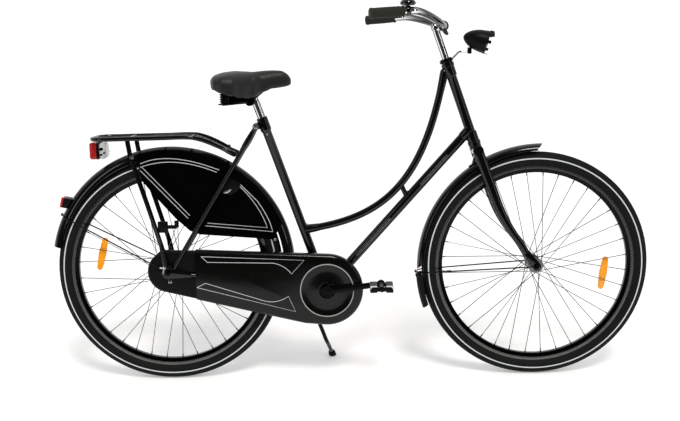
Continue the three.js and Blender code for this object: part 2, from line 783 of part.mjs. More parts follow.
// Seat tube with its lug and the boss for the seat stay bolt
const stay_bolt_place = on_seat_axis(seat_tube_length - seat_stay_bolt_down);
stay_bolt_place.x -= seat_stay_bolt_behind;
const stay_boss_half = seat_lug_diameter / 2;
const stay_eye_y = stay_boss_half + fit_gap;
const stay_bolt_head_from = stay_eye_y + seat_stay_eye_width + fit_gap;
const stay_bolt_hole = cross_rod(stay_bolt_place.x, stay_bolt_place.z, -4 * stay_boss_half, 4 * stay_boss_half,
  stay_bolt_diameter + 2 * fit_gap, 12);
{
  const tube_body = rod(seat_base, seat_top, seat_tube_diameter, 14);
  const lug = rod(on_seat_axis(seat_tube_length - seat_lug_length), seat_top, seat_lug_diameter, 14);
  const boss = cross_rod(stay_bolt_place.x, stay_bolt_place.z, -stay_boss_half, stay_boss_half,
    seat_stay_eye_diameter, 12);
  const bore = rod(seat_base, on_seat_axis(seat_tube_length + cut_overrun), seat_tube_bore, 16);
  const web = plate(belt_outline([
    [stay_bolt_place.x, stay_bolt_place.z, seat_stay_eye_diameter / 3],
    [stay_bolt_place.x + seat_stay_bolt_behind, stay_bolt_place.z, seat_tube_bore / 2]], 0, 14),
    -seat_web_thickness / 2, seat_web_thickness / 2);
  add("seat_tube", cut(joined(tube_body, lug, web, boss), bore, stay_bolt_hole, shell_cutter), black_paint);
}

// Bottom bracket shell with its two bearing cups
{
  const half = bracket_shell_length / 2;
  const outer = bracket_shell_diameter / 2;
  const cup = bracket_cup_bore / 2;
  const bore = bracket_bore / 2;
  add("bottom_bracket_shell", turned([
    [cup, -half], [outer, -half], [outer, half], [cup, half],
    [cup, half - bracket_cup_depth], [bore, half - bracket_cup_depth],
    [bore, bracket_cup_depth - half], [cup, bracket_cup_depth - half],
  ], place(bracket.x, 0, bracket.z), across, 16), black_paint);
}

// Seat stays: an eye and a thick root at the bolt, then a straight tube to the dropout
const dropout_outer = dropout_spread + dropout_thickness;
const dropout_mid = dropout_spread + dropout_thickness / 2;
const axle_hole = cross_rod(0, tyre_radius, -2 * dropout_outer, 2 * dropout_outer, axle_diameter + 2 * fit_gap, 12);
const seat_stay_foot = place(seat_stay_foot_ahead, dropout_mid, tyre_radius + seat_stay_foot_up);
const seat_stay_bend = place(stay_bolt_place.x - seat_stay_bend_behind, seat_stay_bend_out,
  stay_bolt_place.z - seat_stay_bend_down);
function mirrored(point, side) {
  return place(point.x, side * point.y, point.z);
}
function seat_stay(side, grow = 0) {
  const eye_in = side * stay_eye_y;
  const eye_out = side * (stay_eye_y + seat_stay_eye_width);
  const top = place(stay_bolt_place.x, (eye_in + eye_out) / 2, stay_bolt_place.z);
  const bend = mirrored(seat_stay_bend, side);
  const foot = mirrored(seat_stay_foot, side);
  return joined(
    cross_rod(stay_bolt_place.x, stay_bolt_place.z, eye_in, eye_out, seat_stay_eye_diameter + grow, 12),
    rod(top, bend, seat_stay_root_diameter * seat_stay_root_share + grow, 8,
      seat_stay_root_diameter + grow),
    rod(bend, bend.clone().lerp(foot, seat_stay_taper_share), seat_stay_root_diameter + grow, 8,
      seat_stay_diameter + grow),
    rod(bend, foot, seat_stay_diameter + grow, 8));
}

// Chain stays: from the bracket shell, past the tyre, to a flat dropout on the axle
const chain_stay_end = place(chain_stay_end_ahead, dropout_spread, tyre_radius - chain_stay_end_drop);
function chain_stay(side, grow = 0) {
  const curve = new THREE.CatmullRomCurve3([
    place(bracket.x - bracket_shell_diameter / 4, side * chain_stay_front_spread, bracket.z),
    ...chain_stay_path.map(([x, y, z]) => place(bracket.x - x, side * y, bracket.z + z)),
    mirrored(chain_stay_end, side),
  ], false, "centripetal");
  return bent_rod(curve, chain_stay_diameter + grow, 9, 8);
}
for (const [name, side] of Object.entries(sides)) {
  const plate_outline = belt_outline([
    [0, tyre_radius, dropout_radius],
    [chain_stay_end.x + chain_stay_diameter, chain_stay_end.z - chain_stay_diameter / 6, chain_stay_diameter / 3]], 0, 20);
  const dropout = plate(plate_outline, side * dropout_spread, side * dropout_outer);
  const stay_body = joined(cut(chain_stay(side), shell_cutter), dropout);
  add(`chain_stay_${name}`, cut(stay_body, axle_hole, seat_stay(side, 2 * fit_gap)), black_paint);
  const head_room = cross_rod(stay_bolt_place.x, stay_bolt_place.z, side * (stay_bolt_head_from - fit_gap),
    side * 2 * seat_stay_bend_out, stay_bolt_head_diameter + 4 * fit_gap, 14);
  add(`seat_stay_${name}`, cut(seat_stay(side), stay_bolt_hole, head_room), black_paint);
}
{
  const head_in = stay_bolt_head_from;
  const head_out = head_in + stay_bolt_head_height;
  add("seat_stay_bolt", joined(
    cross_rod(stay_bolt_place.x, stay_bolt_place.z, -head_out, head_out, stay_bolt_diameter, 12),
    cross_rod(stay_bolt_place.x, stay_bolt_place.z, -head_in, -head_out, stay_bolt_head_diameter, 12),
    cross_rod(stay_bolt_place.x, stay_bolt_place.z, head_in, head_out, stay_bolt_head_diameter, 12)), chrome);
}

// Mudguards: a thin domed strip swept round the wheel
const guard_turns = [90, 45];
function guard_section(half_width, depth, sheet) {
  const steps = 2 * guard_turns.length;
  const points = [];
  for (let i = 0; i <= steps; i++) {
    const angle = -Math.PI / 2 + (Math.PI * i) / steps;
    points.push(new THREE.Vector2(half_width * Math.sin(angle), depth * (Math.cos(angle) - 1)));
  }
  for (let i = steps; sheet > 0 && i >= 0; i--) {
    const angle = -Math.PI / 2 + (Math.PI * i) / steps;
    points.push(new THREE.Vector2((half_width - sheet) * Math.sin(angle), (depth - sheet) * Math.cos(angle) - depth));
  }
  return new THREE.Shape(points);
}
function guard(centre, radius, from_angle, to_angle, half_width, depth, sheet, steps) {
  const curve = new WheelArc(centre, radius, from_angle, to_angle);
  const section = guard_section(half_width, depth, sheet);
  return solid(new THREE.ExtrudeGeometry(section, { steps, extrudePath: curve, bevelEnabled: false }));
}
const rear_guard_centre = place(rear_guard_shift_ahead, 0, tyre_radius + rear_guard_shift_up);
const guard_half = guard_width / 2;
const front_guard_centre = place(wheelbase + front_guard_shift_ahead, 0, tyre_radius + front_guard_shift_up);
const rear_guard_steps = 20;
add("rear_mudguard", guard(rear_guard_centre, rear_guard_radius, rear_guard_front_angle, rear_guard_tail_angle,
  guard_half, rear_guard_side_depth, guard_sheet, rear_guard_steps), black_paint);
add("front_mudguard", guard(front_guard_centre, front_guard_radius, front_guard_tip_angle, front_guard_tail_angle,
  guard_half, front_guard_side_depth, guard_sheet, 15), black_paint);
const flap_grow = flap_sheet + 2 * fit_gap;
add("mud_flap", guard(front_guard_centre, front_guard_radius + flap_grow, front_guard_tail_angle - flap_lap_angle,
  flap_end_angle, guard_half + flap_grow, front_guard_side_depth, flap_sheet, 3), rubber);

// Wheel axles, with cones, washers and dome nuts as one turned piece each
function add_axle(name, centre, dropout_in, nut_from, hub_right, hub_left) {
  const core = axle_diameter / 2;
  const cone = axle_cone_diameter / 2;
  const nut = axle_nut_across / 2;
  const nut_to = nut_from + axle_nut_height;
  const tip = nut_to + axle_nut_dome;
  const cone_out = dropout_in - fit_gap;
  add(name, turned([
    [0, -tip], [nut * axle_dome_share, -tip], [nut, -nut_to], [nut, -nut_from], [core, -nut_from],
    [core, -cone_out], [cone, -cone_out], [cone, -hub_right - fit_gap], [core, -hub_right - fit_gap],
    [core, hub_left + fit_gap], [cone, hub_left + fit_gap], [cone, cone_out], [core, cone_out],
    [core, nut_from], [nut, nut_from], [nut, nut_to], [nut * axle_dome_share, tip], [0, tip],
  ], centre, across, 8), chrome);
}
const stay_eye_from = dropout_outer + fit_gap;
const leg_eye_from = stay_eye_from + stay_eye_thickness + fit_gap;
const rear_nut_from = leg_eye_from + carrier_leg_thickness + fit_gap;
const front_dropout_outer = front_fork_spread + dropout_thickness;
const front_eye_from = front_dropout_outer + fit_gap;
const front_nut_from = front_eye_from + stay_eye_thickness + fit_gap;
add_axle("rear_axle", rear_axle_centre, dropout_spread, rear_nut_from, driver_end, rear_hub_left_end);
add_axle("front_axle", front_axle_centre, front_fork_spread, front_nut_from, front_hub_end, front_hub_end);

// Mudguard stays
function add_guard_stay(name, axle_centre, eye_from, centre, radius, depth, angle) {
  const eye_mid = eye_from + stay_eye_thickness / 2;
  const inner = radius - depth;
  const clear = fit_gap + stay_wire_diameter / 2;
  const clear_half = guard_half + clear;
  const near = [[inner - stay_eye_diameter, clear_half]];
  for (const turn of guard_turns) {
    near.push([inner + (depth + clear) * Math.cos(turn * DEG), clear_half * Math.sin(turn * DEG)]);
  }
  const toward = polar(centre, inner, angle * DEG, clear_half).sub(place(axle_centre.x, eye_mid, axle_centre.z));
  const start = place(axle_centre.x, eye_mid, axle_centre.z)
    .addScaledVector(toward.normalize(), stay_eye_diameter / 2 - stay_wire_diameter / 2);
  const half_path = [start, ...near.map(([reach, y]) => polar(centre, reach, angle * DEG, y))];
  const path = [
    ...half_path, polar(centre, radius + clear, angle * DEG, 0),
    ...half_path.map((point) => mirrored(point, -1)).reverse(),
  ];
  const plane_normal = place(-Math.sin(angle * DEG), 0, Math.cos(angle * DEG));
  const loop = wire(path, plane_normal, stay_wire_diameter, 5);
  const eye_out = eye_from + stay_eye_thickness;
  const eyes = Object.values(sides).map((side) =>
    cross_rod(axle_centre.x, axle_centre.z, side * eye_from, side * eye_out, stay_eye_diameter, 12));
  const bore = cross_rod(axle_centre.x, axle_centre.z, -2 * eye_out, 2 * eye_out, axle_diameter + 2 * fit_gap, 12);
  const room = Object.values(sides).flatMap((side) => [
    cross_rod(axle_centre.x, axle_centre.z, side * (eye_out + half_gap), side * 2 * eye_out, 3 * stay_eye_diameter, 12),
    cross_rod(axle_centre.x, axle_centre.z, side * (eye_from - half_gap), side * (eye_from - stay_eye_diameter / 2),
      3 * stay_eye_diameter, 12)]);
  add(name, cut(joined(loop, ...eyes), bore, ...room), dark_steel);
}
add_guard_stay("rear_mudguard_stays", rear_axle_centre, stay_eye_from, rear_guard_centre, rear_guard_radius,
  rear_guard_side_depth, rear_stay_angle);
add_guard_stay("front_mudguard_stays", front_axle_centre, front_eye_from, front_guard_centre, front_guard_radius,
  front_guard_side_depth, front_stay_angle);

// Mudguard reflector, hollowed to sit on the domed guard
{
  const outline = reflector_corners.map(([reach, angle]) => {
    const corner = polar(rear_guard_centre, reach, angle * DEG, 0);
    return [corner.x, corner.z];
  });
  const seat = guard(rear_guard_centre, rear_guard_radius + 2 * fit_gap, rear_guard_front_angle,
    rear_guard_tail_angle, guard_half + 2 * fit_gap, rear_guard_side_depth, 0, rear_guard_steps);
  add("mudguard_reflector", cut(plate(outline, -reflector_width / 2, reflector_width / 2), seat), red_lens);
}

// Coat guards: a flat sheet each side, following the mudguard, with a slot for the frame lock
{
  const edge = [];
  for (let i = 0; i <= 8; i++) {
    const angle = (coat_front_angle + ((coat_rear_angle - coat_front_angle) * i) / 8) * DEG;
    const point = polar(rear_guard_centre, rear_guard_radius - rear_guard_side_depth / 4, angle, 0);
    edge.push([point.x, point.z]);
  }
  const outline = [...coat_guard_lower_edge, ...edge];
  for (const [name, side] of Object.entries(sides)) {
    const from = side * (guard_half + coat_guard_clearance);
    const to = from + side * coat_guard_sheet;
    add(`coat_guard_${name}`, plate(outline, from, to, [coat_lock_slot]), guard_vinyl);
  }
}

// Chain case: a rounded shell round both chain runs, its rear cap and its round cover
const case_circles = (rise) => [
  [rear_axle_centre.x, rear_axle_centre.z, case_rear_radius],
  [bracket.x - case_low_corner_behind, bracket.z - case_low_corner_drop, case_low_corner_radius],
  [bracket.x, bracket.z, case_front_radius],
  [rear_axle_centre.x - case_top_corner_behind, rear_axle_centre.z + case_top_corner_rise + rise, case_top_corner_radius],
];
function case_solid(inset, near_face, far_face, rise = 0) {
  const corner = [];
  for (let i = 0; i <= case_edge_steps; i++) {
    const angle = (Math.PI / 2) * (i / case_edge_steps);
    const edge_inset = inset + case_edge_radius * (1 - Math.sin(angle));
    const outline = belt_outline(case_circles(rise), edge_inset, case_turn_points);
    corner.push({ depth: case_edge_radius * (1 - Math.cos(angle)), outline });
  }
  const ring = ({ outline }, y) => outline.map(([x, z]) => place(x, y, z));
  return lofted([
    ...corner.map((row) => ring(row, -near_face - row.depth)),
    ...corner.toReversed().map((row) => ring(row, -far_face + row.depth))]);
}
function beyond(from_x, to_x, from_y, to_y) {
  const tall = 2 * tyre_radius;
  return block(to_x - from_x, to_y - from_y, tall, place((from_x + to_x) / 2, (from_y + to_y) / 2, tyre_radius));
}
{
  const seam = case_seam_ahead;
  const far = bracket.x + 2 * case_front_radius;
  const stay_room = chain_stay(sides.right, 2 * case_stay_clearance);
  const whole = case_solid(0, case_inner_face, case_outer_face, case_cover_rise);
  const cavity = case_solid(case_wall, case_inner_face + case_wall, case_outer_face - case_wall, case_cover_rise);
  const deep = cavity.intersect(beyond(seam + case_wall, far, -case_outer_face, 0));
  const shallow = cavity.intersect(beyond(seam - case_wall, far, case_wall - case_cap_face, 0));
  const shell_hole = cross_rod(bracket.x, bracket.z, -case_inner_face - 2 * case_wall, 0,
    bracket_shell_diameter + 2 * fit_gap, 16);
  const cover_hole = cross_rod(bracket.x, bracket.z, -2 * case_outer_face, case_wall * 2 - case_outer_face,
    2 * (disc_radius - disc_lap), 20);
  add("chain_case", cut(whole.intersect(beyond(seam, far, -case_outer_face, 0)), deep, shallow,
    shell_hole, cover_hole, stay_room), case_plastic);

  const cap = case_solid(0, case_inner_face, case_cap_face);
  const cap_cavity = case_solid(case_wall, case_inner_face + case_wall, case_cap_face - case_wall);
  const hub_hole = cross_rod(0, tyre_radius, -case_inner_face - 2 * case_wall, 0,
    2 * (hub_barrel_radius + case_hub_clearance), 16);
  const axle_room = cross_rod(0, tyre_radius, -2 * case_cap_face, case_wall * 2 - case_cap_face,
    axle_cone_diameter + 2 * case_hub_clearance, 16);
  add("chain_case_rear_cap", cut(cap.intersect(beyond(-far, seam - fit_gap, -case_outer_face, 0)), cap_cavity,
    hub_hole, axle_room, stay_room, seat_stay(sides.right, 2 * case_stay_clearance)), black_plastic);

  const cover_from = case_outer_face + fit_gap;
  const cover_to = cover_from + disc_sheet;
  add("chain_case_disc", turned([
    [disc_hole_radius, cover_from], [disc_radius, cover_from], [disc_radius, cover_to],
    [disc_radius - disc_rim_width, cover_to + disc_rim_height], [disc_radius - 2 * disc_rim_width, cover_to],
    [disc_hole_radius, cover_to],
  ], place(bracket.x, 0, bracket.z), across.clone().negate(), 28), case_plastic);
}

// Chain, chainring, sprocket and cranks
const ring_pitch_radius = chain_pitch / (2 * Math.sin(Math.PI / chainring_teeth));
const sprocket_pitch_radius = chain_pitch / (2 * Math.sin(Math.PI / sprocket_teeth));
const chain_half = chain_height / 2;
{
  const run = (grow) => belt_outline([
    [0, tyre_radius, sprocket_pitch_radius + grow], [bracket.x, bracket.z, ring_pitch_radius + grow]], 0, 30);
  add("chain", plate(run(chain_half), -chain_line - chain_width / 2, chain_width / 2 - chain_line,
    [run(-chain_half)]), steel);
  const tooth_reach = chain_half + 2 * fit_gap;
  const ring_in = chain_line - ring_thickness / 2;
  const ring_out = chain_line + ring_thickness / 2;
  const spindle_end = crank_inner_face + crank_thickness - spindle_inset;
  const boss_end = crank_inner_face - fit_gap;
  const axle_radius = spindle_diameter / 2;
  add("chainring", turned([
    [0, -spindle_end], [axle_radius, -spindle_end], [axle_radius, ring_in],
    [ring_pitch_radius - tooth_reach, ring_in], [ring_pitch_radius - tooth_reach, ring_out],
    [chainring_boss_radius, ring_out], [chainring_boss_radius, boss_end], [axle_radius, boss_end],
    [axle_radius, spindle_end], [0, spindle_end],
  ], place(bracket.x, 0, bracket.z), across.clone().negate(), 20), steel);
  add("rear_sprocket", turned([
    [hub_bore, rear_hub_right_end + fit_gap], [driver_radius, rear_hub_right_end + fit_gap],
    [driver_radius, ring_in], [sprocket_pitch_radius - tooth_reach, ring_in],
    [sprocket_pitch_radius - tooth_reach, ring_out], [driver_radius, ring_out],
    [driver_radius, driver_end], [hub_bore, driver_end],
  ], rear_axle_centre, across.clone().negate(), 14), steel);
}

// Cranks and pedals
const pedal_from = crank_inner_face + crank_thickness + pedal_crank_gap;
const pedal_to = pedal_from + pedal_depth;
for (const [name, side] of Object.entries(sides)) {
  const turn = (side === sides.right ? crank_angle : crank_angle + 180) * DEG;
  const eye = place(bracket.x + crank_length * Math.cos(turn), 0, bracket.z + crank_length * Math.sin(turn));
  const face = (out) => side * (crank_inner_face + out);
  const boss = cross_rod(bracket.x, bracket.z, face(0), face(crank_thickness), crank_boss_diameter, 16);
  const arm = plate(belt_outline([
    [bracket.x, bracket.z, crank_width_wide / 2], [eye.x, eye.z, crank_width_narrow / 2]].sort((a, b) => a[0] - b[0]),
    0, 16), face(crank_arm_inset), face(crank_thickness - crank_arm_inset));
  const end = cross_rod(eye.x, eye.z, face(crank_arm_inset / 2), face(crank_thickness - crank_arm_inset / 2),
    crank_eye_diameter, 14);
  const pin = cross_rod(eye.x, eye.z, face(crank_thickness / 2), side * (pedal_to - pedal_wall), pedal_axle_diameter, 12);
  const hole = cross_rod(bracket.x, bracket.z, face(-crank_thickness), face(2 * crank_thickness),
    spindle_diameter + 2 * fit_gap, 16);
  add(`crank_${name}`, joined(boss, arm, end, pin).subtract(hole), dark_steel);

  const centre_y = side * (pedal_from + pedal_to) / 2;
  const barrel = cross_rod(eye.x, eye.z, side * pedal_from, side * pedal_to, pedal_barrel_diameter, 14);
  const plates = [pedal_from + pedal_wall / 2, pedal_to - pedal_wall / 2].map((out) =>
    block(pedal_length - 2 * pedal_block_width / 2, pedal_wall, pedal_thickness - 2 * pedal_wall,
      place(eye.x, side * out, eye.z)));
  const treads = [-1, 1].map((end_side) => block(pedal_block_width, pedal_depth - 2 * pedal_wall, pedal_thickness,
    place(eye.x + (end_side * (pedal_length - pedal_block_width)) / 2, centre_y, eye.z)));
  const bore = cross_rod(eye.x, eye.z, side * (pedal_from - pedal_wall), side * (pedal_to - pedal_wall + fit_gap),
    pedal_axle_diameter + 2 * fit_gap, 14);
  add(`pedal_${name}`, joined(barrel, ...plates, ...treads).subtract(bore), black_plastic);
}

// Coaster brake arm, strapped to the left chain stay
{
  const from = rear_hub_left_end + brake_arm_gap;
  const to = from + brake_arm_thickness;
  const arm = plate(belt_outline([
    [0, tyre_radius, axle_cone_diameter], [brake_arm_reach, tyre_radius - brake_arm_drop, brake_arm_end_radius]], 0, 16),
    from, to);
  const hole = cross_rod(0, tyre_radius, from - brake_arm_gap, to + brake_arm_gap,
    axle_cone_diameter + 2 * fit_gap, 14);
  add("brake_arm", cut(arm, hole, chain_stay(sides.left, 2 * fit_gap)), chrome);
}

// Carrier: tubular loop with inner bars, a leg each side, and the lamp plate at its tail
{
  const tail = -carrier_tail_behind;
  const half = carrier_half_width;
  const corner = carrier_corner_radius;
  const rail_tail = carrier_height - carrier_tail_drop;
  const half_loop = [
    place(carrier_nose_ahead, carrier_nose_half_width, carrier_nose_height),
    place((carrier_nose_ahead + carrier_bend_ahead) / 2 + corner / 2, (half + carrier_nose_half_width) / 2,
      (carrier_height + carrier_nose_height) / 2),
    place(carrier_bend_ahead, half, carrier_height + carrier_tail_drop / 2),
    place(0, half, carrier_height),
    place(tail + 2 * corner, half, rail_tail),
    place(tail + corner / 4, half - corner / 2, rail_tail),
  ];
  const loop = [...half_loop, place(tail, 0, rail_tail), ...half_loop.map((point) => mirrored(point, -1)).reverse()];
  const rail = bent_rod(new THREE.CatmullRomCurve3(loop, false, "centripetal"), carrier_tube_diameter, 26, 6);
  const bars = carrier_bar_places.map((x) =>
    rod(place(x, -half, carrier_height), place(x, half, carrier_height), carrier_bar_diameter, 6));
  const inner = Object.values(sides).map((side) => rod(
    place(tail, side * half / 3, rail_tail), place(carrier_bar_places.at(-1), side * half / 3, carrier_height),
    carrier_bar_diameter, 6));
  const leg_end = belt_outline([[0, tyre_radius, carrier_leg_eye_diameter / 2],
    [carrier_leg_path.at(-2)[0], carrier_leg_path.at(-2)[1], carrier_leg_width / 2]], 0, 12);
  const legs = Object.values(sides).flatMap((side) => {
    const from = side * leg_eye_from;
    const to = side * (leg_eye_from + carrier_leg_thickness);
    return [plate(strip_outline(carrier_leg_path, carrier_leg_width), from, to), plate(leg_end, from, to)];
  });
  const lamp_plate = block(carrier_lamp_plate_thickness, carrier_lamp_plate_width, rail_tail - rear_light_top,
    place(tail + rear_light_plate_ahead, 0, (rail_tail + rear_light_top) / 2));
  const axle_bore = cross_rod(0, tyre_radius, -2 * half, 2 * half, axle_diameter + 2 * fit_gap, 12);
  add("carrier", joined(rail, ...bars, ...inner, ...legs, lamp_plate).subtract(axle_bore), black_paint);
}


// Rear light: the red lens at the tail and the clear housing ahead of it
function rounded_box(centre, length, width, height, round) {
  const steps = 2;
  const rows = [];
  for (let i = 0; i <= steps; i++) {
    const angle = (Math.PI / 2) * (i / steps);
    rows.push([length / 2 - round * (1 - Math.cos(angle)), round * Math.sin(angle)]);
  }
  const ring = (x, radius) => {
    const points = [];
    for (let i = 0; i < 4 * (steps + 1); i++) {
      const quarter = Math.floor(i / (steps + 1));
      const angle = (Math.PI / 2) * (quarter + (i % (steps + 1)) / steps);
      const y_side = quarter === 0 || quarter === 3 ? 1 : -1;
      const z_side = quarter < 2 ? 1 : -1;
      points.push(place(centre.x + x,
        centre.y + y_side * (width / 2 - round) + radius * Math.cos(angle),
        centre.z + z_side * (height / 2 - round) + radius * Math.sin(angle)));
    }
    return points;
  };
  return lofted([
    ...rows.map(([x, radius]) => ring(-x, radius)),
    ...rows.toReversed().map(([x, radius]) => ring(x, radius))]);
}
{
  const height = rear_light_top - fit_gap - rear_light_low;
  const mid_z = rear_light_low + height / 2;
  const tail = -carrier_tail_behind;
  const lens_length = rear_light_seam - rear_light_tail - fit_gap;
  const housing_length = rear_light_front - rear_light_seam;
  add("rear_light_lens", rounded_box(place(rear_light_tail + lens_length / 2, 0, mid_z), lens_length,
    rear_light_width, height, rear_light_round), red_lens);
  add("rear_light_housing", rounded_box(place(rear_light_seam + housing_length / 2, 0, mid_z), housing_length,
    rear_light_width, height, rear_light_round), clear_lens);
}

// Fork: steerer, locknut, crown, two tapered blades and their dropouts in one piece
function tapered_blade(points, size_at, steps) {
  const curve = new THREE.CatmullRomCurve3(points, false, "centripetal");
  const rings = [];
  for (let i = 0; i <= steps; i++) {
    const share = i / steps;
    const point = curve.getPoint(share);
    const tangent = curve.getTangent(share);
    const forward = place(-tangent.z, 0, tangent.x).normalize();
    const [width, depth] = size_at(share);
    rings.push(ring_of_points(width / 2, depth / 2, 8).map((offset) =>
      point.clone().addScaledVector(forward, offset.x).addScaledVector(across, offset.y)));
  }
  return lofted(rings);
}
{
  const crown_centre = on_head_axis(-crown_drop);
  const locknut_from = head_end_distance + headset_cup_height + fit_gap;
  const locknut_to = locknut_from + locknut_height;
  const race_top = head_tube_start - headset_cup_height - fit_gap;
  const head_zero = on_head_axis(0);
  const spindle = turned([
    [steerer_bore / 2, -crown_drop], [crown_race_diameter / 2, -crown_drop], [crown_race_diameter / 2, race_top],
    [steerer_diameter / 2, race_top], [steerer_diameter / 2, locknut_from], [locknut_diameter / 2, locknut_from],
    [locknut_diameter / 2, locknut_to], [steerer_bore / 2, locknut_to],
  ], head_zero, head_direction, 12);
  const bore = rod(crown_centre, on_head_axis(locknut_to + cut_overrun), steerer_bore, 12);
  const crown_half = blade_spread_top + blade_depth_top / 2;
  const crown = cross_rod(crown_centre.x, crown_centre.z, -crown_half, crown_half, 2 * crown_radius, 12);
  const tab_reach = [front_guard_radius + 2 * fit_gap, front_guard_radius + 2 * fit_gap + crown_tab_thickness];
  const tab_foot = crown_tab_angles.flatMap((angle, i) => (i ? tab_reach.toReversed() : tab_reach).map((reach) => {
    const corner = polar(front_guard_centre, reach, angle * DEG, 0);
    return [corner.x, corner.z];
  }));
  const tab_root = tab_foot[0].map((value, i) => (value + tab_foot[2][i]) / 2);
  const tab = [tab_foot, strip_outline([tab_root, [crown_centre.x, crown_centre.z]], 2 * crown_tab_thickness)]
    .map((outline) => plate(outline, -crown_tab_width / 2, crown_tab_width / 2));
  const blades = Object.values(sides).map((side) => {
    const path = blade_path.map(([x, z], i) => {
      const share = i / (blade_path.length - 1);
      return place(front_axle_centre.x + x, side * (blade_spread_top + (blade_spread_tip - blade_spread_top) * share),
        front_axle_centre.z + z);
    });
    const blade = tapered_blade(path, (share) => [
      blade_width_top + (blade_width_tip - blade_width_top) * share,
      blade_depth_top + (blade_depth_tip - blade_depth_top) * share], 8);
    const [tip_x, tip_z] = blade_path.at(-1);
    const dropout = plate(belt_outline([
      [front_axle_centre.x + tip_x, front_axle_centre.z + tip_z, blade_width_tip / 2],
        [front_axle_centre.x, front_axle_centre.z, front_dropout_radius]], 0, 16),
      side * front_fork_spread, side * front_dropout_outer);
    return blade.add(dropout);
  });
  const axle_bore = cross_rod(front_axle_centre.x, front_axle_centre.z, -2 * front_fork_spread,
    2 * front_fork_spread, axle_diameter + 2 * fit_gap, 12);
  add("fork", cut(joined(spindle, crown, ...tab, ...blades), bore, axle_bore), black_paint);
}

// Stem: a quill in the steerer, a short reach forward and the handlebar clamp
const headset_top = head_end_distance + headset_cup_height + fit_gap + locknut_height;
const bar_centre = place(head_base.x - bar_centre_behind, 0, head_base.z + bar_centre_rise);
{
  const quill = rod(on_head_axis(headset_top - quill_depth), on_head_axis(quill_top), quill_diameter, 12);
  const reach = rod(on_head_axis(quill_top - quill_diameter / 2), bar_centre, quill_diameter, 10);
  const clamp = cross_rod(bar_centre.x, bar_centre.z, -stem_clamp_width / 2, stem_clamp_width / 2,
    stem_clamp_diameter, 14);
  const bore = cross_rod(bar_centre.x, bar_centre.z, -stem_clamp_width, stem_clamp_width,
    bar_diameter + 4 * fit_gap, 16);
  add("stem", joined(quill, reach, clamp).subtract(bore), chrome);
}

// Handlebar: swept back from the clamp to each grip
function grip_frame(side) {
  const start = place(bar_centre.x - bar_grip_start_behind, side * bar_grip_start_out,
    bar_centre.z + bar_grip_start_up);
  const direction = place(-Math.cos(grip_sweep_angle * DEG), side * Math.sin(grip_sweep_angle * DEG),
    -Math.tan(grip_drop_angle * DEG)).normalize();
  return { start, direction };
}
{
  const half_points = Object.values(sides).map((side) => {
    const { start, direction } = grip_frame(side);
    const straight_end = start.clone().addScaledVector(direction, -2 * bell_clamp_width);
    const root = bar_centre.clone().addScaledVector(across, side * stem_clamp_width * 2 / 3);
    const curve = new THREE.CubicBezierCurve3(root,
      root.clone().addScaledVector(across, side * bar_root_pull),
      straight_end.clone().addScaledVector(direction, -bar_grip_pull),
      straight_end);
    return [...curve.getPoints(bar_steps),
      start.clone().addScaledVector(direction, grip_length - grip_end_wall - fit_gap)];
  });
  const bar = wire([...half_points[0].reverse(), ...half_points[1]], place(0, 0, 1), bar_diameter, 10);
  add("handlebar", bar, chrome);
}
for (const [name, side] of Object.entries(sides)) {
  const { start, direction } = grip_frame(side);
  const bore = bar_diameter / 2 + 2 * fit_gap;
  const outer = grip_diameter / 2;
  const closed = grip_length - grip_end_wall;
  add(`grip_${name}`, turned([
    [bore, fit_gap], [outer * grip_waist_share, fit_gap], [outer, grip_length / 4], [outer, closed],
    [outer * grip_waist_share, grip_length], [0, grip_length], [0, closed], [bore, closed],
  ], start, direction, 12), grip_rubber);
}

// Bell: a clamp on the bar, a base plate, the dome above it and its thumb lever
const bell_frame = grip_frame(sides.right);
const bell_root = bell_frame.start.clone().addScaledVector(bell_frame.direction, -bell_clamp_width);
const bell_base = bell_root.z + bell_rise;
const lever_pin = place(bell_root.x, bell_root.y + bell_lever_offset, bell_base);
{
  const clamp_start = bell_root.clone().addScaledVector(bell_frame.direction, -bell_clamp_width / 2);
  const clamp = tube(clamp_start, bell_frame.direction, bell_clamp_width, bell_clamp_diameter,
    bar_diameter + 8 * fit_gap, 12);
  const post = rod(place(bell_root.x, bell_root.y, bell_root.z + bell_clamp_diameter / 2 - bell_sheet),
    place(bell_root.x, bell_root.y, bell_base + bell_height - bell_sheet), bell_post_diameter, 8);
  const dome = [];
  const inside = [];
  for (let i = 0; i <= 4; i++) {
    const angle = (Math.PI / 2) * (i / 4);
    dome.push([bell_radius * Math.cos(angle), bell_sheet + (bell_height - bell_sheet) * Math.sin(angle)]);
    inside.push([(bell_radius - bell_sheet) * Math.cos(angle),
      bell_sheet + (bell_height - 2 * bell_sheet) * Math.sin(angle)]);
  }
  const shell = turned([...dome, ...inside.reverse()], place(bell_root.x, bell_root.y, bell_base),
    place(0, 0, 1), 14);
  const base = rod(place(bell_root.x, bell_root.y, bell_base - bell_sheet),
    place(bell_root.x, bell_root.y, bell_base), 2 * (bell_radius - 2 * bell_sheet), 14);
  const pin = rod(place(lever_pin.x, lever_pin.y, bell_base - bell_sheet - bell_lever_thickness - bell_sheet),
    lever_pin, bell_pin_diameter, 10);
  add("bell", joined(clamp, post, shell, base, pin), chrome);

  const lever_top = bell_base - bell_sheet - fit_gap;
  const outline = belt_outline([
    [lever_pin.x - bell_lever_length, lever_pin.y + bell_lever_length / 2, bell_pin_diameter * 2 / 3],
    [lever_pin.x, lever_pin.y, bell_pin_diameter]], 0, 14);
  const lever = prism(outline, place(0, 0, lever_top - bell_lever_thickness), place(1, 0, 0), across, 0,
    bell_lever_thickness);
  const hole = rod(place(lever_pin.x, lever_pin.y, lever_top - 2 * bell_lever_thickness),
    place(lever_pin.x, lever_pin.y, bell_base), bell_pin_diameter + 2 * fit_gap, 10);
  add("bell_lever", lever.subtract(hole), chrome);
}

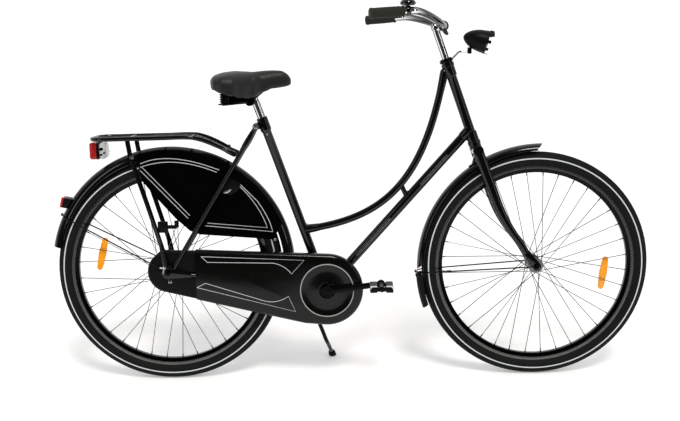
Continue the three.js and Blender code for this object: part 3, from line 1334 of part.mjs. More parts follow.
// Headlamp: a wire bracket on the headset, the bullet shell that tilts on it, and its lens
const lamp_pivot = place(head_base.x - lamp_pivot_behind, 0, head_base.z + lamp_pivot_rise);
const lamp_direction = place(Math.cos(lamp_tilt * DEG), 0, -Math.sin(lamp_tilt * DEG));
const lamp_tail = place(head_base.x + lamp_front_ahead, 0, head_base.z + lamp_front_rise).addScaledVector(lamp_direction, -lamp_length);
{
  const ring_from = headset_top - locknut_height / 2 - lamp_ring_height / 2;
  const ring_centre = on_head_axis(ring_from + lamp_ring_height / 2);
  const ring = tube(on_head_axis(ring_from), head_direction, lamp_ring_height, lamp_ring_diameter,
    locknut_diameter + 4 * fit_gap, 12);
  const path = new THREE.CatmullRomCurve3([
    place(ring_centre.x + (lamp_ring_diameter + locknut_diameter) / 4, 0,
      ring_centre.z + (lamp_ring_diameter - locknut_diameter)),
    ...lamp_bracket_path.map(([x, z]) => place(head_base.x + x, 0, head_base.z + z)),
    lamp_pivot.clone().addScaledVector(lamp_direction, -lamp_eye_diameter / 4)], false, "centripetal");
  const arm = bent_rod(path, lamp_bracket_diameter, 8, 5);
  const eye = cross_rod(lamp_pivot.x, lamp_pivot.z, -lamp_eye_half, lamp_eye_half, lamp_eye_diameter, 14);
  const hole = cross_rod(lamp_pivot.x, lamp_pivot.z, -lamp_eye_diameter, lamp_eye_diameter,
    lamp_pin_diameter + 2 * fit_gap, 12);
  add("lamp_bracket", joined(ring, arm, eye).subtract(hole), chrome);

  const inner = lamp_profile.slice(1).map(([radius, along]) => [radius - lamp_sheet, Math.min(along + lamp_sheet / 2,
    lamp_length)]).reverse();
  const shell = turned([...lamp_profile, ...inner, [0, lamp_profile[1][1] + lamp_sheet / 2]], lamp_tail, lamp_direction, 14);
  const front = lamp_tail.clone().addScaledVector(lamp_direction, lamp_length - lamp_visor_lap);
  const hood = tube(front, lamp_direction, lamp_visor_length + lamp_visor_lap, 2 * lamp_radius + lamp_sheet,
    2 * lamp_radius - lamp_sheet, 14);
  const keep = block(4 * lamp_radius, lamp_visor_width, 2 * lamp_radius,
    place(front.x, 0, front.z + lamp_radius + lamp_radius * lamp_visor_rise_share));
  const tabs = Object.values(sides).map((side) => plate([
    [lamp_pivot.x - lamp_tab_half, lamp_pivot.z - lamp_pin_diameter],
    [lamp_pivot.x + lamp_tab_half, lamp_pivot.z - lamp_pin_diameter],
    [lamp_pivot.x + lamp_tab_half, lamp_pivot.z + lamp_tab_height],
    [lamp_pivot.x - lamp_tab_half, lamp_pivot.z + lamp_tab_height],
  ], side * (lamp_eye_half + fit_gap), side * (lamp_eye_half + fit_gap + lamp_tab_thickness)));
  const pin_half = lamp_eye_half + lamp_tab_thickness;
  const pin = cross_rod(lamp_pivot.x, lamp_pivot.z, -pin_half, pin_half, lamp_pin_diameter, 12);
  const hollow = turned([...inner.slice(0, -1), [0, inner.at(-2)[1]], [0, lamp_length]], lamp_tail, lamp_direction, 14);
  add("lamp_shell", joined(shell, hood.intersect(keep), pin, ...tabs.map((tab) => tab.subtract(hollow))), black_plastic);

  const lens_radius = lamp_radius - lamp_sheet - fit_gap;
  add("lamp_lens", turned([
    [0, lamp_length - lamp_lens_depth], [lens_radius, lamp_length - lamp_lens_depth], [lens_radius, lamp_length],
    [lens_radius * 2 / 3, lamp_length + lamp_lens_bulge * 2 / 3], [0, lamp_length + lamp_lens_bulge],
  ], lamp_tail, lamp_direction, 14), clear_lens);
}

// Seat post, with the eye that the saddle clamp turns on
const seat_post_top = seat_tube_length + seat_post_rise;
const seat_post_tip = on_seat_axis(seat_post_top);
const clamp_centre = place(seat_post_tip.x - saddle_clamp_behind, 0, seat_post_tip.z - saddle_clamp_drop);
{
  const post = rod(on_seat_axis(seat_post_top - seat_post_depth), on_seat_axis(seat_post_top), seat_post_diameter, 14);
  const neck_start = on_seat_axis(seat_post_top - seat_post_diameter);
  const neck = rod(neck_start, clamp_centre, saddle_eye_diameter, 12);
  const eye = cross_rod(clamp_centre.x, clamp_centre.z, -saddle_eye_half, saddle_eye_half, saddle_eye_diameter, 16);
  const hole = cross_rod(clamp_centre.x, clamp_centre.z, -2 * saddle_eye_half, 2 * saddle_eye_half,
    saddle_bolt_diameter + 2 * fit_gap, 12);
  add("seat_post", joined(post, neck, eye).subtract(hole), chrome);
}

const spring_ahead = clamp_centre.x - spring_behind;
const spring_low = clamp_centre.z - spring_drop;

// Saddle frame: clamp discs and bolt, a pair of rails and the spring plate
{
  const disc_in = saddle_eye_half + fit_gap;
  const disc_out = disc_in + saddle_disc_thickness;
  const bolt = cross_rod(clamp_centre.x, clamp_centre.z, -disc_out - cut_overrun, disc_out + cut_overrun,
    saddle_bolt_diameter, 12);
  const discs = Object.values(sides).map((side) =>
    cross_rod(clamp_centre.x, clamp_centre.z, side * disc_in, side * disc_out, saddle_disc_diameter, 12));
  const rails = Object.values(sides).map((side) => bent_rod(new THREE.CatmullRomCurve3(
    rail_path.map(([x, y, z]) => place(clamp_centre.x + x, side * y, clamp_centre.z + z)), false, "centripetal"), rail_diameter, 9, 5));
  const seat_plate = block(spring_diameter + rail_diameter, 2 * spring_spread + spring_diameter, spring_plate_thickness,
    place(spring_ahead, 0, spring_low - fit_gap - spring_plate_thickness / 2));
  add("saddle_frame", joined(bolt, ...discs, ...rails, seat_plate), dark_steel);
}

// Saddle springs: one unbroken wire each
const spring_steps_per_curl = 8;
for (const [name, side] of Object.entries(sides)) {
  const mean_radius = (spring_diameter - spring_wire) / 2;
  const rise = spring_height - spring_wire;
  class Coil extends THREE.Curve {
    getPoint(share, target = new THREE.Vector3()) {
      const angle = 2 * Math.PI * spring_curls * share;
      return target.set(
        spring_ahead + mean_radius * Math.cos(angle),
        side * (spring_spread + mean_radius * Math.sin(angle)),
        spring_low + spring_wire / 2 + rise * share);
    }
  }
  add(`saddle_spring_${name}`, bent_rod(new Coil(), spring_wire, Math.round(spring_curls * spring_steps_per_curl), 5), spring_black);
}
console.log(`saddle spring: least gap between curls ${((spring_height - spring_wire) / spring_curls - spring_wire).toFixed(2)} mm`);

// Saddle: a padded top lofted through cross sections, with the spring seats and rail pockets below
{
  const rings = saddle_rows.map(([ahead, half_width, ...heights]) => {
    const x = clamp_centre.x + ahead;
    const [top, skirt, under] = heights.map((height) => clamp_centre.z + height);
    const points = [];
    for (let i = 0; i <= saddle_section_steps; i++) {
      const angle = Math.PI * (i / saddle_section_steps);
      const drawn_in = 1 - saddle_draw_share * (1 - Math.sin(angle)) ** 2;
      const y = half_width * Math.sign(Math.cos(angle)) * Math.abs(Math.cos(angle)) ** saddle_square_power * drawn_in;
      points.push(place(x, y, skirt + (top - skirt) * Math.sin(angle) ** saddle_crown_power));
    }
    for (const share of [-2 / 3, -1 / 3, 0, 1 / 3, 2 / 3]) points.push(place(x, share * half_width, under));
    return points;
  });
  const cushion = lofted(rings);
  const cups = Object.values(sides).map((side) => rod(
    place(spring_ahead, side * spring_spread, spring_low + spring_height + fit_gap),
    place(spring_ahead, side * spring_spread, spring_low + spring_height + spring_diameter),
    spring_diameter, 14));
  const pockets = Object.values(sides).map((side) => bent_rod(new THREE.CatmullRomCurve3(
    rail_path.map(([x, y, z]) => place(clamp_centre.x + x, side * y, clamp_centre.z + z)), false, "centripetal"), rail_diameter + 4 * fit_gap, 10, 6));
  add("saddle_cover", cut(joined(cushion, ...cups), ...pockets), cover_skin);
}

// Side stand: a block clamped to the chain stays, and the leg that folds back on its pin
const stand_pivot = place(bracket.x - stand_pivot_behind, stand_pivot_out, bracket.z - stand_pivot_drop);
const stand_axis = place(0, Math.cos(stand_axis_tilt * DEG), Math.sin(stand_axis_tilt * DEG));
const on_stand_axis = (distance) => stand_pivot.clone().addScaledVector(stand_axis, distance);
{
  const stay_room = Object.values(sides).map((side) => chain_stay(side, 2 * fit_gap));
  const stand_block_low = bracket.z - stand_block_drop;
  const stand_plate_height = bracket.z + stand_plate_rise;
  const lower = block(stand_block_length, stand_block_width, stand_block_height,
    place(stand_pivot.x, stand_block_shift, stand_block_low + stand_block_height / 2));
  const upper = block(stand_block_length, stand_block_width - 2 * stand_plate_thickness, stand_plate_thickness,
    place(stand_pivot.x, 0, stand_plate_height));
  const bolt = rod(place(stand_pivot.x, 0, stand_block_low), place(stand_pivot.x, 0,
    stand_plate_height + 2 * stand_plate_thickness), stand_bolt_diameter, 10);
  const barrel_half = stand_barrel_length / 2;
  const pin = rod(on_stand_axis(-stand_pivot_out / 2), on_stand_axis(barrel_half + fit_gap + cut_overrun / 2),
    stand_pin_diameter, 12);
  const head = rod(on_stand_axis(barrel_half + fit_gap), on_stand_axis(barrel_half + fit_gap + cut_overrun),
    stand_pin_head_diameter, 12);
  add("kickstand_bracket", cut(joined(lower, upper, bolt, pin, head), ...stay_room), dark_steel);

  const sole = stand_foot_out * Math.tan(lean_angle * DEG);
  const foot_end = place(stand_pivot.x + stand_foot_ahead, stand_foot_out, sole);
  const knee = place(stand_pivot.x + stand_knee_ahead, stand_knee_out, stand_knee_height);
  const shin = foot_end.clone().sub(knee).normalize();
  const path = new THREE.CatmullRomCurve3([
    stand_pivot, ...stand_leg_path.map(([x, y, z]) => place(stand_pivot.x + x, y, z)), knee,
    foot_end.clone().addScaledVector(shin, -stand_foot_length / 2)], false, "centripetal");
  const barrel = rod(on_stand_axis(-barrel_half), on_stand_axis(barrel_half), stand_barrel_diameter, 14);
  const pin_hole = rod(on_stand_axis(-stand_barrel_length), on_stand_axis(stand_barrel_length),
    stand_pin_diameter + 2 * fit_gap, 12);
  const foot_start = foot_end.clone().addScaledVector(shin, -stand_foot_length);
  const foot_over = foot_end.clone().addScaledVector(shin, stand_foot_diameter);
  const leg_end_room = foot_end.clone().addScaledVector(shin, -stand_foot_length / 2 + fit_gap);
  const ground_cut = block(8 * stand_foot_diameter, 8 * stand_foot_diameter, 4 * stand_foot_diameter,
    place(0, 0, -2 * stand_foot_diameter));
  const ground = ground_cut.rotate([lean_angle, 0, 0]).translate([foot_end.x, foot_end.y, foot_end.z]);
  const leg = joined(bent_rod(path, stand_leg_diameter, 11, 8), barrel).subtract(pin_hole);
  add("kickstand_leg", leg, dark_steel);
  const foot = rod(foot_start, foot_over, stand_foot_diameter, 14);
  const socket = rod(foot_start.clone().addScaledVector(shin, -cut_overrun), leg_end_room,
    stand_leg_diameter + 4 * fit_gap, 12);
  add("kickstand_foot", cut(foot, socket, ground), rubber);
}

// Spoke reflectors, one on each wheel
function add_spoke_reflector(prefix, axle_centre, angle) {
  const outward = place(Math.cos(angle * DEG), 0, Math.sin(angle * DEG));
  const centre = axle_centre.clone().addScaledVector(outward, spoke_reflector_radius);
  const along = across.clone().cross(outward);
  const end_round = spoke_reflector_width / 2;
  const end_reach = spoke_reflector_length / 2 - end_round;
  const outline = belt_outline([[-end_reach, 0, end_round], [end_reach, 0, end_round]], 0, 16);
  const half = spoke_reflector_thickness / 2;
  add(`${prefix}_spoke_reflector`, prism(outline, centre, along, outward, -half, half), orange_lens);
}
add_spoke_reflector("rear", rear_axle_centre, rear_reflector_turn);
add_spoke_reflector("front", front_axle_centre, front_reflector_turn);

// The whole bike leans onto its stand, and stands centred on the ground
bike.rotation.x = -lean_angle * DEG;
bike.updateMatrixWorld(true);
const standing = new THREE.Group();
standing.add(bike);
const box = new THREE.Box3().setFromObject(standing, true);
const middle = box.getCenter(new THREE.Vector3());
standing.position.set(-middle.x, -middle.y, -box.min.z);
standing.updateMatrixWorld(true);

export default standing;
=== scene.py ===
# %% [markdown]
# # A Dutch city bike
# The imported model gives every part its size, its place and its joints. This lesson dresses that model:
# each piece is shaped again with finer curves, rides on the same body, and gets a finish of its own.

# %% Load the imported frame
import json
from math import acos, asin, atan2, copysign, cos, degrees, hypot, pi, radians, sin, tan

import bpy
from mathutils import Matrix, Vector


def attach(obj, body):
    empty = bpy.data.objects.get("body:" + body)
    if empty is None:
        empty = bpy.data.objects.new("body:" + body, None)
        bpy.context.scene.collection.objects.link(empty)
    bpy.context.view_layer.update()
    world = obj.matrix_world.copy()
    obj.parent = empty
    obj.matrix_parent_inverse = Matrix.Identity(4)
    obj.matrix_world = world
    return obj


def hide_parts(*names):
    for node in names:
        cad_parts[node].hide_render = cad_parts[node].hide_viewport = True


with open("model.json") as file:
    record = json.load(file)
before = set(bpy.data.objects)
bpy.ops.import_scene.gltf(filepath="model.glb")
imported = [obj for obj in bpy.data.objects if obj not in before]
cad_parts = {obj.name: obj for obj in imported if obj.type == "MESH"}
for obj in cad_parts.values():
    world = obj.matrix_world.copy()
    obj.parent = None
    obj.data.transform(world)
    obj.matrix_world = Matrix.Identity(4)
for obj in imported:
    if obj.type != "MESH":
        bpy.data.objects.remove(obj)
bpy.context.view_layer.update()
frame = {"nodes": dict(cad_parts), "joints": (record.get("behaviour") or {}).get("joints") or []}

# %% [markdown]
# A bicycle is easiest to draw upright, in millimetres, with the rear wheel's contact point at zero.
# The real one leans on its stand. So each piece is drawn upright, and one matrix, taken from the rear
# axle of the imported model, scales it to metres, leans it over and sets it in its place.

# %% From the upright drawing to the leaning bike
joints = {joint["name"]: joint for joint in frame["joints"]}
mm = 0.001
axle_height = 357.5
wheelbase = 1156.0
lean_angle = radians(5.94)
lean = Matrix.Rotation(-lean_angle, 4, "X")
shift = Vector(joints["rear_wheel_spin"]["pos_m"]) - lean @ Vector((0, 0, axle_height * mm))
standing = Matrix.Translation(shift) @ lean @ Matrix.Scale(mm, 4)
print("the drawing's zero stands at", [round(v, 4) for v in shift])

# %% [markdown]
# Most tools of Blender act on everything that is selected, so a helper first clears the selection.
# The other helpers repeat what a hand would do: merge points that lie together, drop loose edges,
# close open ends and turn the faces outwards.

# %% Selecting and cleaning
merge_distance = 0.002


def object_mode():
    bpy.ops.object.mode_set(mode="OBJECT")


def only(piece=None):
    if bpy.context.mode != "OBJECT":
        object_mode()
    bpy.ops.object.select_all(action="DESELECT")
    if piece:
        piece.select_set(True)
        bpy.context.view_layer.objects.active = piece


def edit(piece):
    only(piece)
    bpy.ops.object.mode_set(mode="EDIT")
    bpy.ops.mesh.select_all(action="SELECT")


def clean(piece, close_ends=False):
    edit(piece)
    bpy.ops.mesh.remove_doubles(threshold=merge_distance)
    bpy.ops.mesh.delete_loose(use_verts=True, use_edges=True, use_faces=False)
    if close_ends:
        bpy.ops.mesh.select_all(action="SELECT")
        bpy.ops.mesh.fill_holes(sides=0)
    bpy.ops.mesh.select_all(action="SELECT")
    bpy.ops.mesh.normals_make_consistent(inside=False)
    object_mode()
    return piece


def apply(piece, kind, **settings):
    only(piece)
    modifier = piece.modifiers.new(kind.title(), kind)
    for name, value in settings.items():
        setattr(modifier, name, value)
    bpy.ops.object.modifier_apply(modifier=modifier.name)
    return piece


def soften(piece, width, segments=2):
    return apply(piece, "BEVEL", width=width, segments=segments, limit_method="ANGLE", angle_limit=radians(40),
                 harden_normals=False)


def joined(pieces):
    only(pieces[0])
    for piece in pieces:
        piece.select_set(True)
    bpy.ops.object.join()
    return bpy.context.active_object


def cut(piece, *cutters):
    for cutter in cutters:
        apply(piece, "BOOLEAN", operation="DIFFERENCE", object=cutter, solver="EXACT")
        bpy.data.objects.remove(cutter)
    return piece


def cut_at(piece, point, away, keep_ahead=False):
    edit(piece)
    bpy.ops.mesh.bisect(plane_co=point, plane_no=away, use_fill=True, clear_inner=keep_ahead,
                        clear_outer=not keep_ahead)
    object_mode()
    return clean(piece)


def copy_of(piece, matrix):
    twin = piece.copy()
    twin.data = piece.data.copy()
    bpy.context.scene.collection.objects.link(twin)
    twin.data.transform(matrix)
    return twin


def mirrored(piece):
    twin = copy_of(piece, Matrix.Scale(-1, 4, (0, 1, 0)))
    edit(twin)
    bpy.ops.mesh.flip_normals()
    object_mode()
    return twin


def painted(piece, *finishes):
    for finish in finishes:
        piece.data.materials.append(finish)
    return piece


# %% [markdown]
# Round things are turned, as on a lathe: half of the section is drawn as a closed outline of
# (radius, distance along the axis) and spun. A mudguard is the same thing with a longer radius and
# only part of a turn. The spin tool turns clockwise seen from the tip of its axis, so the axis is given
# upside down. Most turned parts are plain rings with softened edges, so one function writes that outline.

# %% Turning on the lathe
across, to_right, upward = (0, 1, 0), (0, -1, 0), (0, 0, 1)
both_sides = ((-1, "right"), (1, "left"))


def outline(points):
    only()
    bpy.ops.mesh.primitive_circle_add(vertices=len(points), radius=1, fill_type="NOTHING")
    drawn = bpy.context.active_object
    for vertex, point in zip(drawn.data.vertices, points):
        vertex.co = point
    return drawn


def facing(centre, axis, ahead):
    z = Vector(axis).normalized()
    x = (Vector(ahead) - z * z.dot(Vector(ahead))).normalized()
    turn = Matrix((x, z.cross(x), z)).transposed().to_4x4()
    return Matrix.Translation(Vector(centre)) @ turn


def turned(profile, centre, axis=across, steps=48, arc=360, start=0, ahead=(1, 0, 0)):
    piece = outline([(radius, 0, along) for radius, along in profile])
    edit(piece)
    bpy.ops.mesh.spin(steps=steps, angle=radians(arc), center=(0, 0, 0), axis=(0, 0, -1))
    clean(piece, close_ends=arc < 360)
    piece.data.transform(facing(centre, axis, ahead) @ Matrix.Rotation(radians(start), 4, "Z"))
    return piece


def ring(bore, radius, low, high, edge=0, edge_along=None):
    if not edge:
        return [(bore, low), (radius, low), (radius, high), (bore, high)]
    along = edge_along or edge
    return [(bore, low), (radius - edge, low), (radius, low + along), (radius, high - along), (radius - edge, high),
            (bore, high)]


# %% [markdown]
# Tubes and wires are bent along a curve. A Bezier curve through a few points with a round bevel gives
# a clean tube, and a radius at each point makes it taper. It is turned into a mesh at the end, and its
# two caps are merged to the wall.

# %% Bending tubes


def bent(points, radius, straight=False, around=5, finer=8):
    only()
    bpy.ops.curve.primitive_bezier_curve_add()
    wire = bpy.context.active_object
    wire.data.splines.clear()
    spline = wire.data.splines.new("BEZIER")
    spline.bezier_points.add(len(points) - 1)
    radii = radius if isinstance(radius, (list, tuple)) else [radius] * len(points)
    for point, place, size in zip(spline.bezier_points, points, radii):
        point.co = place
        point.handle_left_type = point.handle_right_type = "VECTOR" if straight else "AUTO"
        point.radius = size
    wire.data.dimensions = "3D"
    wire.data.bevel_depth = 1.0
    wire.data.bevel_resolution = around
    wire.data.use_fill_caps = True
    wire.data.resolution_u = finer
    only(wire)
    bpy.ops.object.convert(target="MESH")
    return clean(bpy.context.active_object)


def stepped(points, radii, around=5):
    return bent(points, radii, straight=True, around=around, finer=1)


def rod(start, end, radius, around=5):
    return stepped([start, end], radius, around)


def pull_curve(start, pull, back_pull, end, steps):
    start, pull, back_pull, end = map(Vector, (start, pull, back_pull, end))
    points = []
    for i in range(steps + 1):
        t = i / steps
        points.append(start * (1 - t) ** 3 + pull * 3 * t * (1 - t) ** 2
                      + back_pull * 3 * t * t * (1 - t) + end * t ** 3)
    return points


# %% [markdown]
# Flat parts, such as dropouts, cranks and the chain case, start as an outline in the plane of the
# frame. It is filled, extruded sideways and its edges are bevelled. A belt laid round a few circles
# draws most of these outlines, and a box or a strip along a path draws the others.

# %% Cutting plates


def plate(corners, y_from, y_to, edge=0.6, segments=2):
    piece = outline([(x, y_from, z) for x, z in corners])
    edit(piece)
    bpy.ops.mesh.edge_face_add()
    bpy.ops.mesh.extrude_region_move(TRANSFORM_OT_translate={"value": (0, y_to - y_from, 0)})
    clean(piece)
    return soften(piece, edge, segments) if edge else piece


def belt(circles, points_per_turn=72, inset=0):
    corners = []
    normals = []
    for i, (x, z, radius) in enumerate(circles):
        next_x, next_z, next_radius = circles[(i + 1) % len(circles)]
        reach = hypot(next_x - x, next_z - z)
        normals.append(atan2(next_z - z, next_x - x) - acos((radius - next_radius) / reach))
    for i, (x, z, radius) in enumerate(circles):
        start, stop = normals[i - 1], normals[i]
        while stop < start:
            stop += 2 * pi
        steps = max(3, round((stop - start) / (2 * pi) * points_per_turn))
        for step in range(steps + 1):
            angle = start + (stop - start) * step / steps
            corners.append((x + (radius - inset) * cos(angle), z + (radius - inset) * sin(angle)))
    return corners


def box(x, z, half_x, half_z):
    return [(x - half_x, z - half_z), (x + half_x, z - half_z), (x + half_x, z + half_z), (x - half_x, z + half_z)]


def strip(points, width):
    left, right = [], []
    for i, (x, z) in enumerate(points):
        before, after = points[max(0, i - 1)], points[min(len(points) - 1, i + 1)]
        way = Vector((after[0] - before[0], after[1] - before[1])).normalized() * (width / 2)
        left.append((x - way.y, z + way.x))
        right.append((x + way.y, z - way.x))
    return left + right[::-1]


def rounded_block(low, high, edge, segments=4):
    only()
    centre = [(a + b) / 2 for a, b in zip(low, high)]
    bpy.ops.mesh.primitive_cube_add(size=1)
    block = bpy.context.active_object
    block.data.transform(Matrix.Translation(centre) @ Matrix.Diagonal([b - a for a, b in zip(low, high)] + [1]))
    return soften(block, edge, segments)


def turn_to(angle):
    return Vector((cos(angle), 0, sin(angle)))


def polar(centre, radius, angle, y=0.0):
    return Vector((centre[0], y, centre[1])) + turn_to(radians(angle)) * radius


def polar_corners(centre, *places):
    return [(p.x, p.z) for p in (polar(centre, radius, angle) for radius, angle in places)]


# %% [markdown]
# When a piece is drawn, it goes to its place on the leaning bike, is shaded smooth but for its sharp
# edges, and is hung on its body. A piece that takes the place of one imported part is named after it.


def finish_piece(piece, name, body, finish=None, stands_for=(), smooth=38):
    piece = joined(piece) if isinstance(piece, list) else piece
    piece.data.transform(standing)
    piece.name = piece.data.name = name
    if finish:
        piece.data.materials.clear()
        piece.data.materials.append(finish)
    only(piece)
    bpy.ops.object.shade_smooth_by_angle(angle=radians(smooth))
    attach(piece, body)
    if stands_for:
        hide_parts(*stands_for)
    print(f"{name}: {len(piece.data.polygons)} faces, rides on {body}")
    return piece


def dress(piece, node_name, body, finish=None, smooth=38):
    return finish_piece(piece, f"{node_name}_dressed", body, finish, [node_name], smooth)


# %% [markdown]
# ## Finishes
# A finish looks real through small differences: a slightly uneven surface, rubbed spots, a little
# dust on what faces up. These effects are shared, so each is a node group that puts out one value,
# and every material mixes them in its own measure. They read Object coordinates, so that nothing
# slides when a wheel turns.

# %% Shared surface effects


def fill(tree, node, inputs):
    for key, value in inputs.items():
        if isinstance(value, bpy.types.NodeSocket):
            tree.links.new(value, node.inputs[key])
        else:
            node.inputs[key].default_value = value
    return node


def add_node(tree, kind, inputs, **settings):
    node = tree.nodes.new("ShaderNode" + kind)
    for name, value in settings.items():
        setattr(node, name, value)
    return fill(tree, node, inputs)


def new_group(name, inputs, result):
    group = bpy.data.node_groups.new(name, "ShaderNodeTree")
    for label, value in inputs.items():
        socket = group.interface.new_socket(name=label, in_out="INPUT", socket_type="NodeSocketFloat")
        socket.default_value = value
    group.interface.new_socket(name=result, in_out="OUTPUT", socket_type="NodeSocketFloat")
    where = add_node(group, "TexCoord", {}).outputs["Object"]
    return group, group.nodes.new("NodeGroupInput").outputs, group.nodes.new("NodeGroupOutput"), where


def ramp(tree, value, low, high, lowest=0.0):
    inputs = {"Value": value, "From Min": low, "From Max": high, "To Min": lowest}
    return add_node(tree, "MapRange", inputs).outputs["Result"]


def combined(tree, operation, a, b):
    return add_node(tree, "Math", {0: a, 1: b}, operation=operation).outputs[0]


grain_group, start, end, where = new_group("fine_grain", {"Scale": 600.0, "Detail": 4.0}, "Height")
speckle = add_node(grain_group, "TexNoise", {"Vector": where, "Scale": start["Scale"], "Detail": start["Detail"]})
fill(grain_group, end, {"Height": speckle.outputs["Fac"]})

marks_group, start, end, where = new_group("rubbed_marks", {"Scale": 30.0, "Amount": 0.3}, "Mask")
stretch = add_node(marks_group, "Mapping", {"Vector": where, "Scale": (1, 1, 3)})
patches = add_node(marks_group, "TexNoise", {"Vector": stretch.outputs["Vector"], "Scale": start["Scale"],
                                             "Detail": 6, "Roughness": 0.7})
bright = ramp(marks_group, patches.outputs["Fac"], 0.48, 0.72)
fill(marks_group, end, {"Mask": combined(marks_group, "MULTIPLY", bright, start["Amount"])})

dust_group, start, end, where = new_group("resting_dust", {"Scale": 90.0, "Amount": 0.1}, "Mask")
normal = add_node(dust_group, "NewGeometry", {}).outputs["Normal"]
height = add_node(dust_group, "SeparateXYZ", {"Vector": normal}).outputs["Z"]
flakes = add_node(dust_group, "TexNoise", {"Vector": where, "Scale": start["Scale"], "Detail": 5})
upward_share = ramp(dust_group, height, 0.3, 1.0)
loose = ramp(dust_group, flakes.outputs["Fac"], 0.35, 0.75)
resting = combined(dust_group, "MULTIPLY", upward_share, loose)
fill(dust_group, end, {"Mask": combined(dust_group, "MULTIPLY", resting, start["Amount"])})
print("effects:", grain_group.name, marks_group.name, dust_group.name)

# %% [markdown]
# One function builds each finish from those effects: a base colour that marks and dust change a little,
# a roughness that the marks raise, and a bump from the grain. What is the same all over, such as metal,
# coat and specular level, is set straight on the shader.

# %% A finish from colour, gloss and grain
dust_colour = (0.30, 0.28, 0.25, 1)
roughness_of_marks = 0.12
grain_depth = 0.0004


def place_group(tree, group, **values):
    return add_node(tree, "Group", values, node_tree=group).outputs[0]


def mixed(tree, share, a, b):
    return add_node(tree, "Mix", {0: share, 6: a, 7: b}, data_type="RGBA").outputs[2]


def new_finish(name, colour, roughness, marked=None, metal=0.0, coat=0.0, specular=0.5,
               grain=(900, 0.05), marks=(30, 0.3), dust=0.0):
    material = bpy.data.materials.new(name)
    material.use_nodes = True
    tree = material.node_tree
    marked = marked or [min(1, c * 1.4 + 0.0006) for c in colour]
    mark_mask = place_group(tree, marks_group, Scale=marks[0], Amount=marks[1])
    dust_mask = place_group(tree, dust_group, Amount=dust)
    rubbed = mixed(tree, mark_mask, (*colour, 1), (*marked, 1))
    rough = add_node(tree, "Math", {0: mark_mask, 1: roughness_of_marks, 2: roughness}, operation="MULTIPLY_ADD")
    height = place_group(tree, grain_group, Scale=grain[0])
    bump = add_node(tree, "Bump", {"Strength": grain[1], "Distance": grain_depth, "Height": height})
    fill(tree, tree.nodes["Principled BSDF"], {
        "Metallic": metal, "Coat Weight": coat, "Coat Roughness": 0.04, "Specular IOR Level": specular,
        "Base Color": mixed(tree, dust_mask, rubbed, dust_colour), "Roughness": rough.outputs[0],
        "Normal": bump.outputs["Normal"]})
    return material


paint = new_finish("gloss_black_paint", (0.0018, 0.0018, 0.002), 0.11, specular=0.42,
                   grain=(350, 0.02), marks=(25, 0.25))
guard_paint = new_finish("mudguard_paint", (0.0015, 0.0015, 0.002), 0.11, specular=0.38,
                         grain=(200, 0.03), marks=(18, 0.25), dust=0.002)
case_finish = new_finish("chain_case_plastic", (0.0022, 0.0022, 0.002), 0.12, specular=0.27,
                         grain=(260, 0.03), marks=(14, 0.3), dust=0.001)
cap_finish = new_finish("black_moulded_plastic", (0.004, 0.004, 0.0045), 0.38, specular=0.10,
                        grain=(700, 0.15), marks=(40, 0.3), dust=0.002)
vinyl = new_finish("coat_guard_vinyl", (0.0006, 0.0006, 0.0008), 0.5, specular=0.02,
                   grain=(1100, 0.2), marks=(12, 0.2))
chrome = new_finish("chrome", (0.80, 0.81, 0.83), 0.06, marked=(0.62, 0.62, 0.62), metal=1.0,
                    grain=(300, 0.015), marks=(60, 0.25))
steel = new_finish("zinc_plated_steel", (0.30, 0.31, 0.33), 0.28, marked=(0.18, 0.17, 0.16), metal=1.0,
                   grain=(1500, 0.08), marks=(80, 0.5), dust=0.01)
bright_zinc = new_finish("bright_zinc", (0.62, 0.63, 0.65), 0.3, marked=(0.4, 0.4, 0.4), metal=1.0,
                         marks=(80, 0.4))
black_chrome = new_finish("black_chrome", (0.07, 0.07, 0.072), 0.05, metal=1.0, grain=(300, 0.015),
                          marks=(60, 0.2))
spoke_steel = new_finish("stainless_spokes", (0.10, 0.10, 0.105), 0.3, marked=(0.06, 0.06, 0.06),
                         metal=1.0, grain=(1500, 0.03), marks=(70, 0.4))
dark_steel = new_finish("blackened_steel", (0.010, 0.010, 0.0105), 0.25, metal=1.0,
                        grain=(700, 0.1), marks=(50, 0.4), dust=0.002)
rim_paint = new_finish("black_rim", (0.010, 0.010, 0.010), 0.22, metal=1.0, grain=(500, 0.04),
                       marks=(30, 0.4))
# A band of lighter metal on the rim walls is a painted highlight.
painted_rim_highlight = new_finish("rim_wall_painted_highlight", (0.15, 0.15, 0.145), 0.22, marked=(0.08, 0.08, 0.08), metal=1.0,
                      grain=(500, 0.04), marks=(22, 0.6))
tyre_rubber = new_finish("tyre_rubber", (0.0075, 0.0085, 0.008), 0.6, specular=0.08, grain=(900, 0.35),
                         marks=(35, 0.5), dust=0.006)
rubber = new_finish("soft_rubber", (0.007, 0.007, 0.0065), 0.6, specular=0.08, grain=(1000, 0.3),
                    dust=0.006)
grip_rubber = new_finish("grip_rubber", (0.026, 0.026, 0.021), 0.6, specular=0.10,
                         grain=(1400, 0.5), marks=(60, 0.4), dust=0.006)
skin = new_finish("saddle_skin", (0.0135, 0.0135, 0.0135), 0.42, specular=0.3, grain=(1300, 0.5),
                  marks=(25, 0.12), dust=0.003)
stripe_paint = new_finish("pale_grey_stripe", (0.52, 0.52, 0.53), 0.45)
ring_silver = new_finish("silver_ring", (0.34, 0.34, 0.34), 0.4)
reflex_band = new_finish("reflective_band", (0.60, 0.65, 0.64), 0.5, grain=(2500, 0.3))
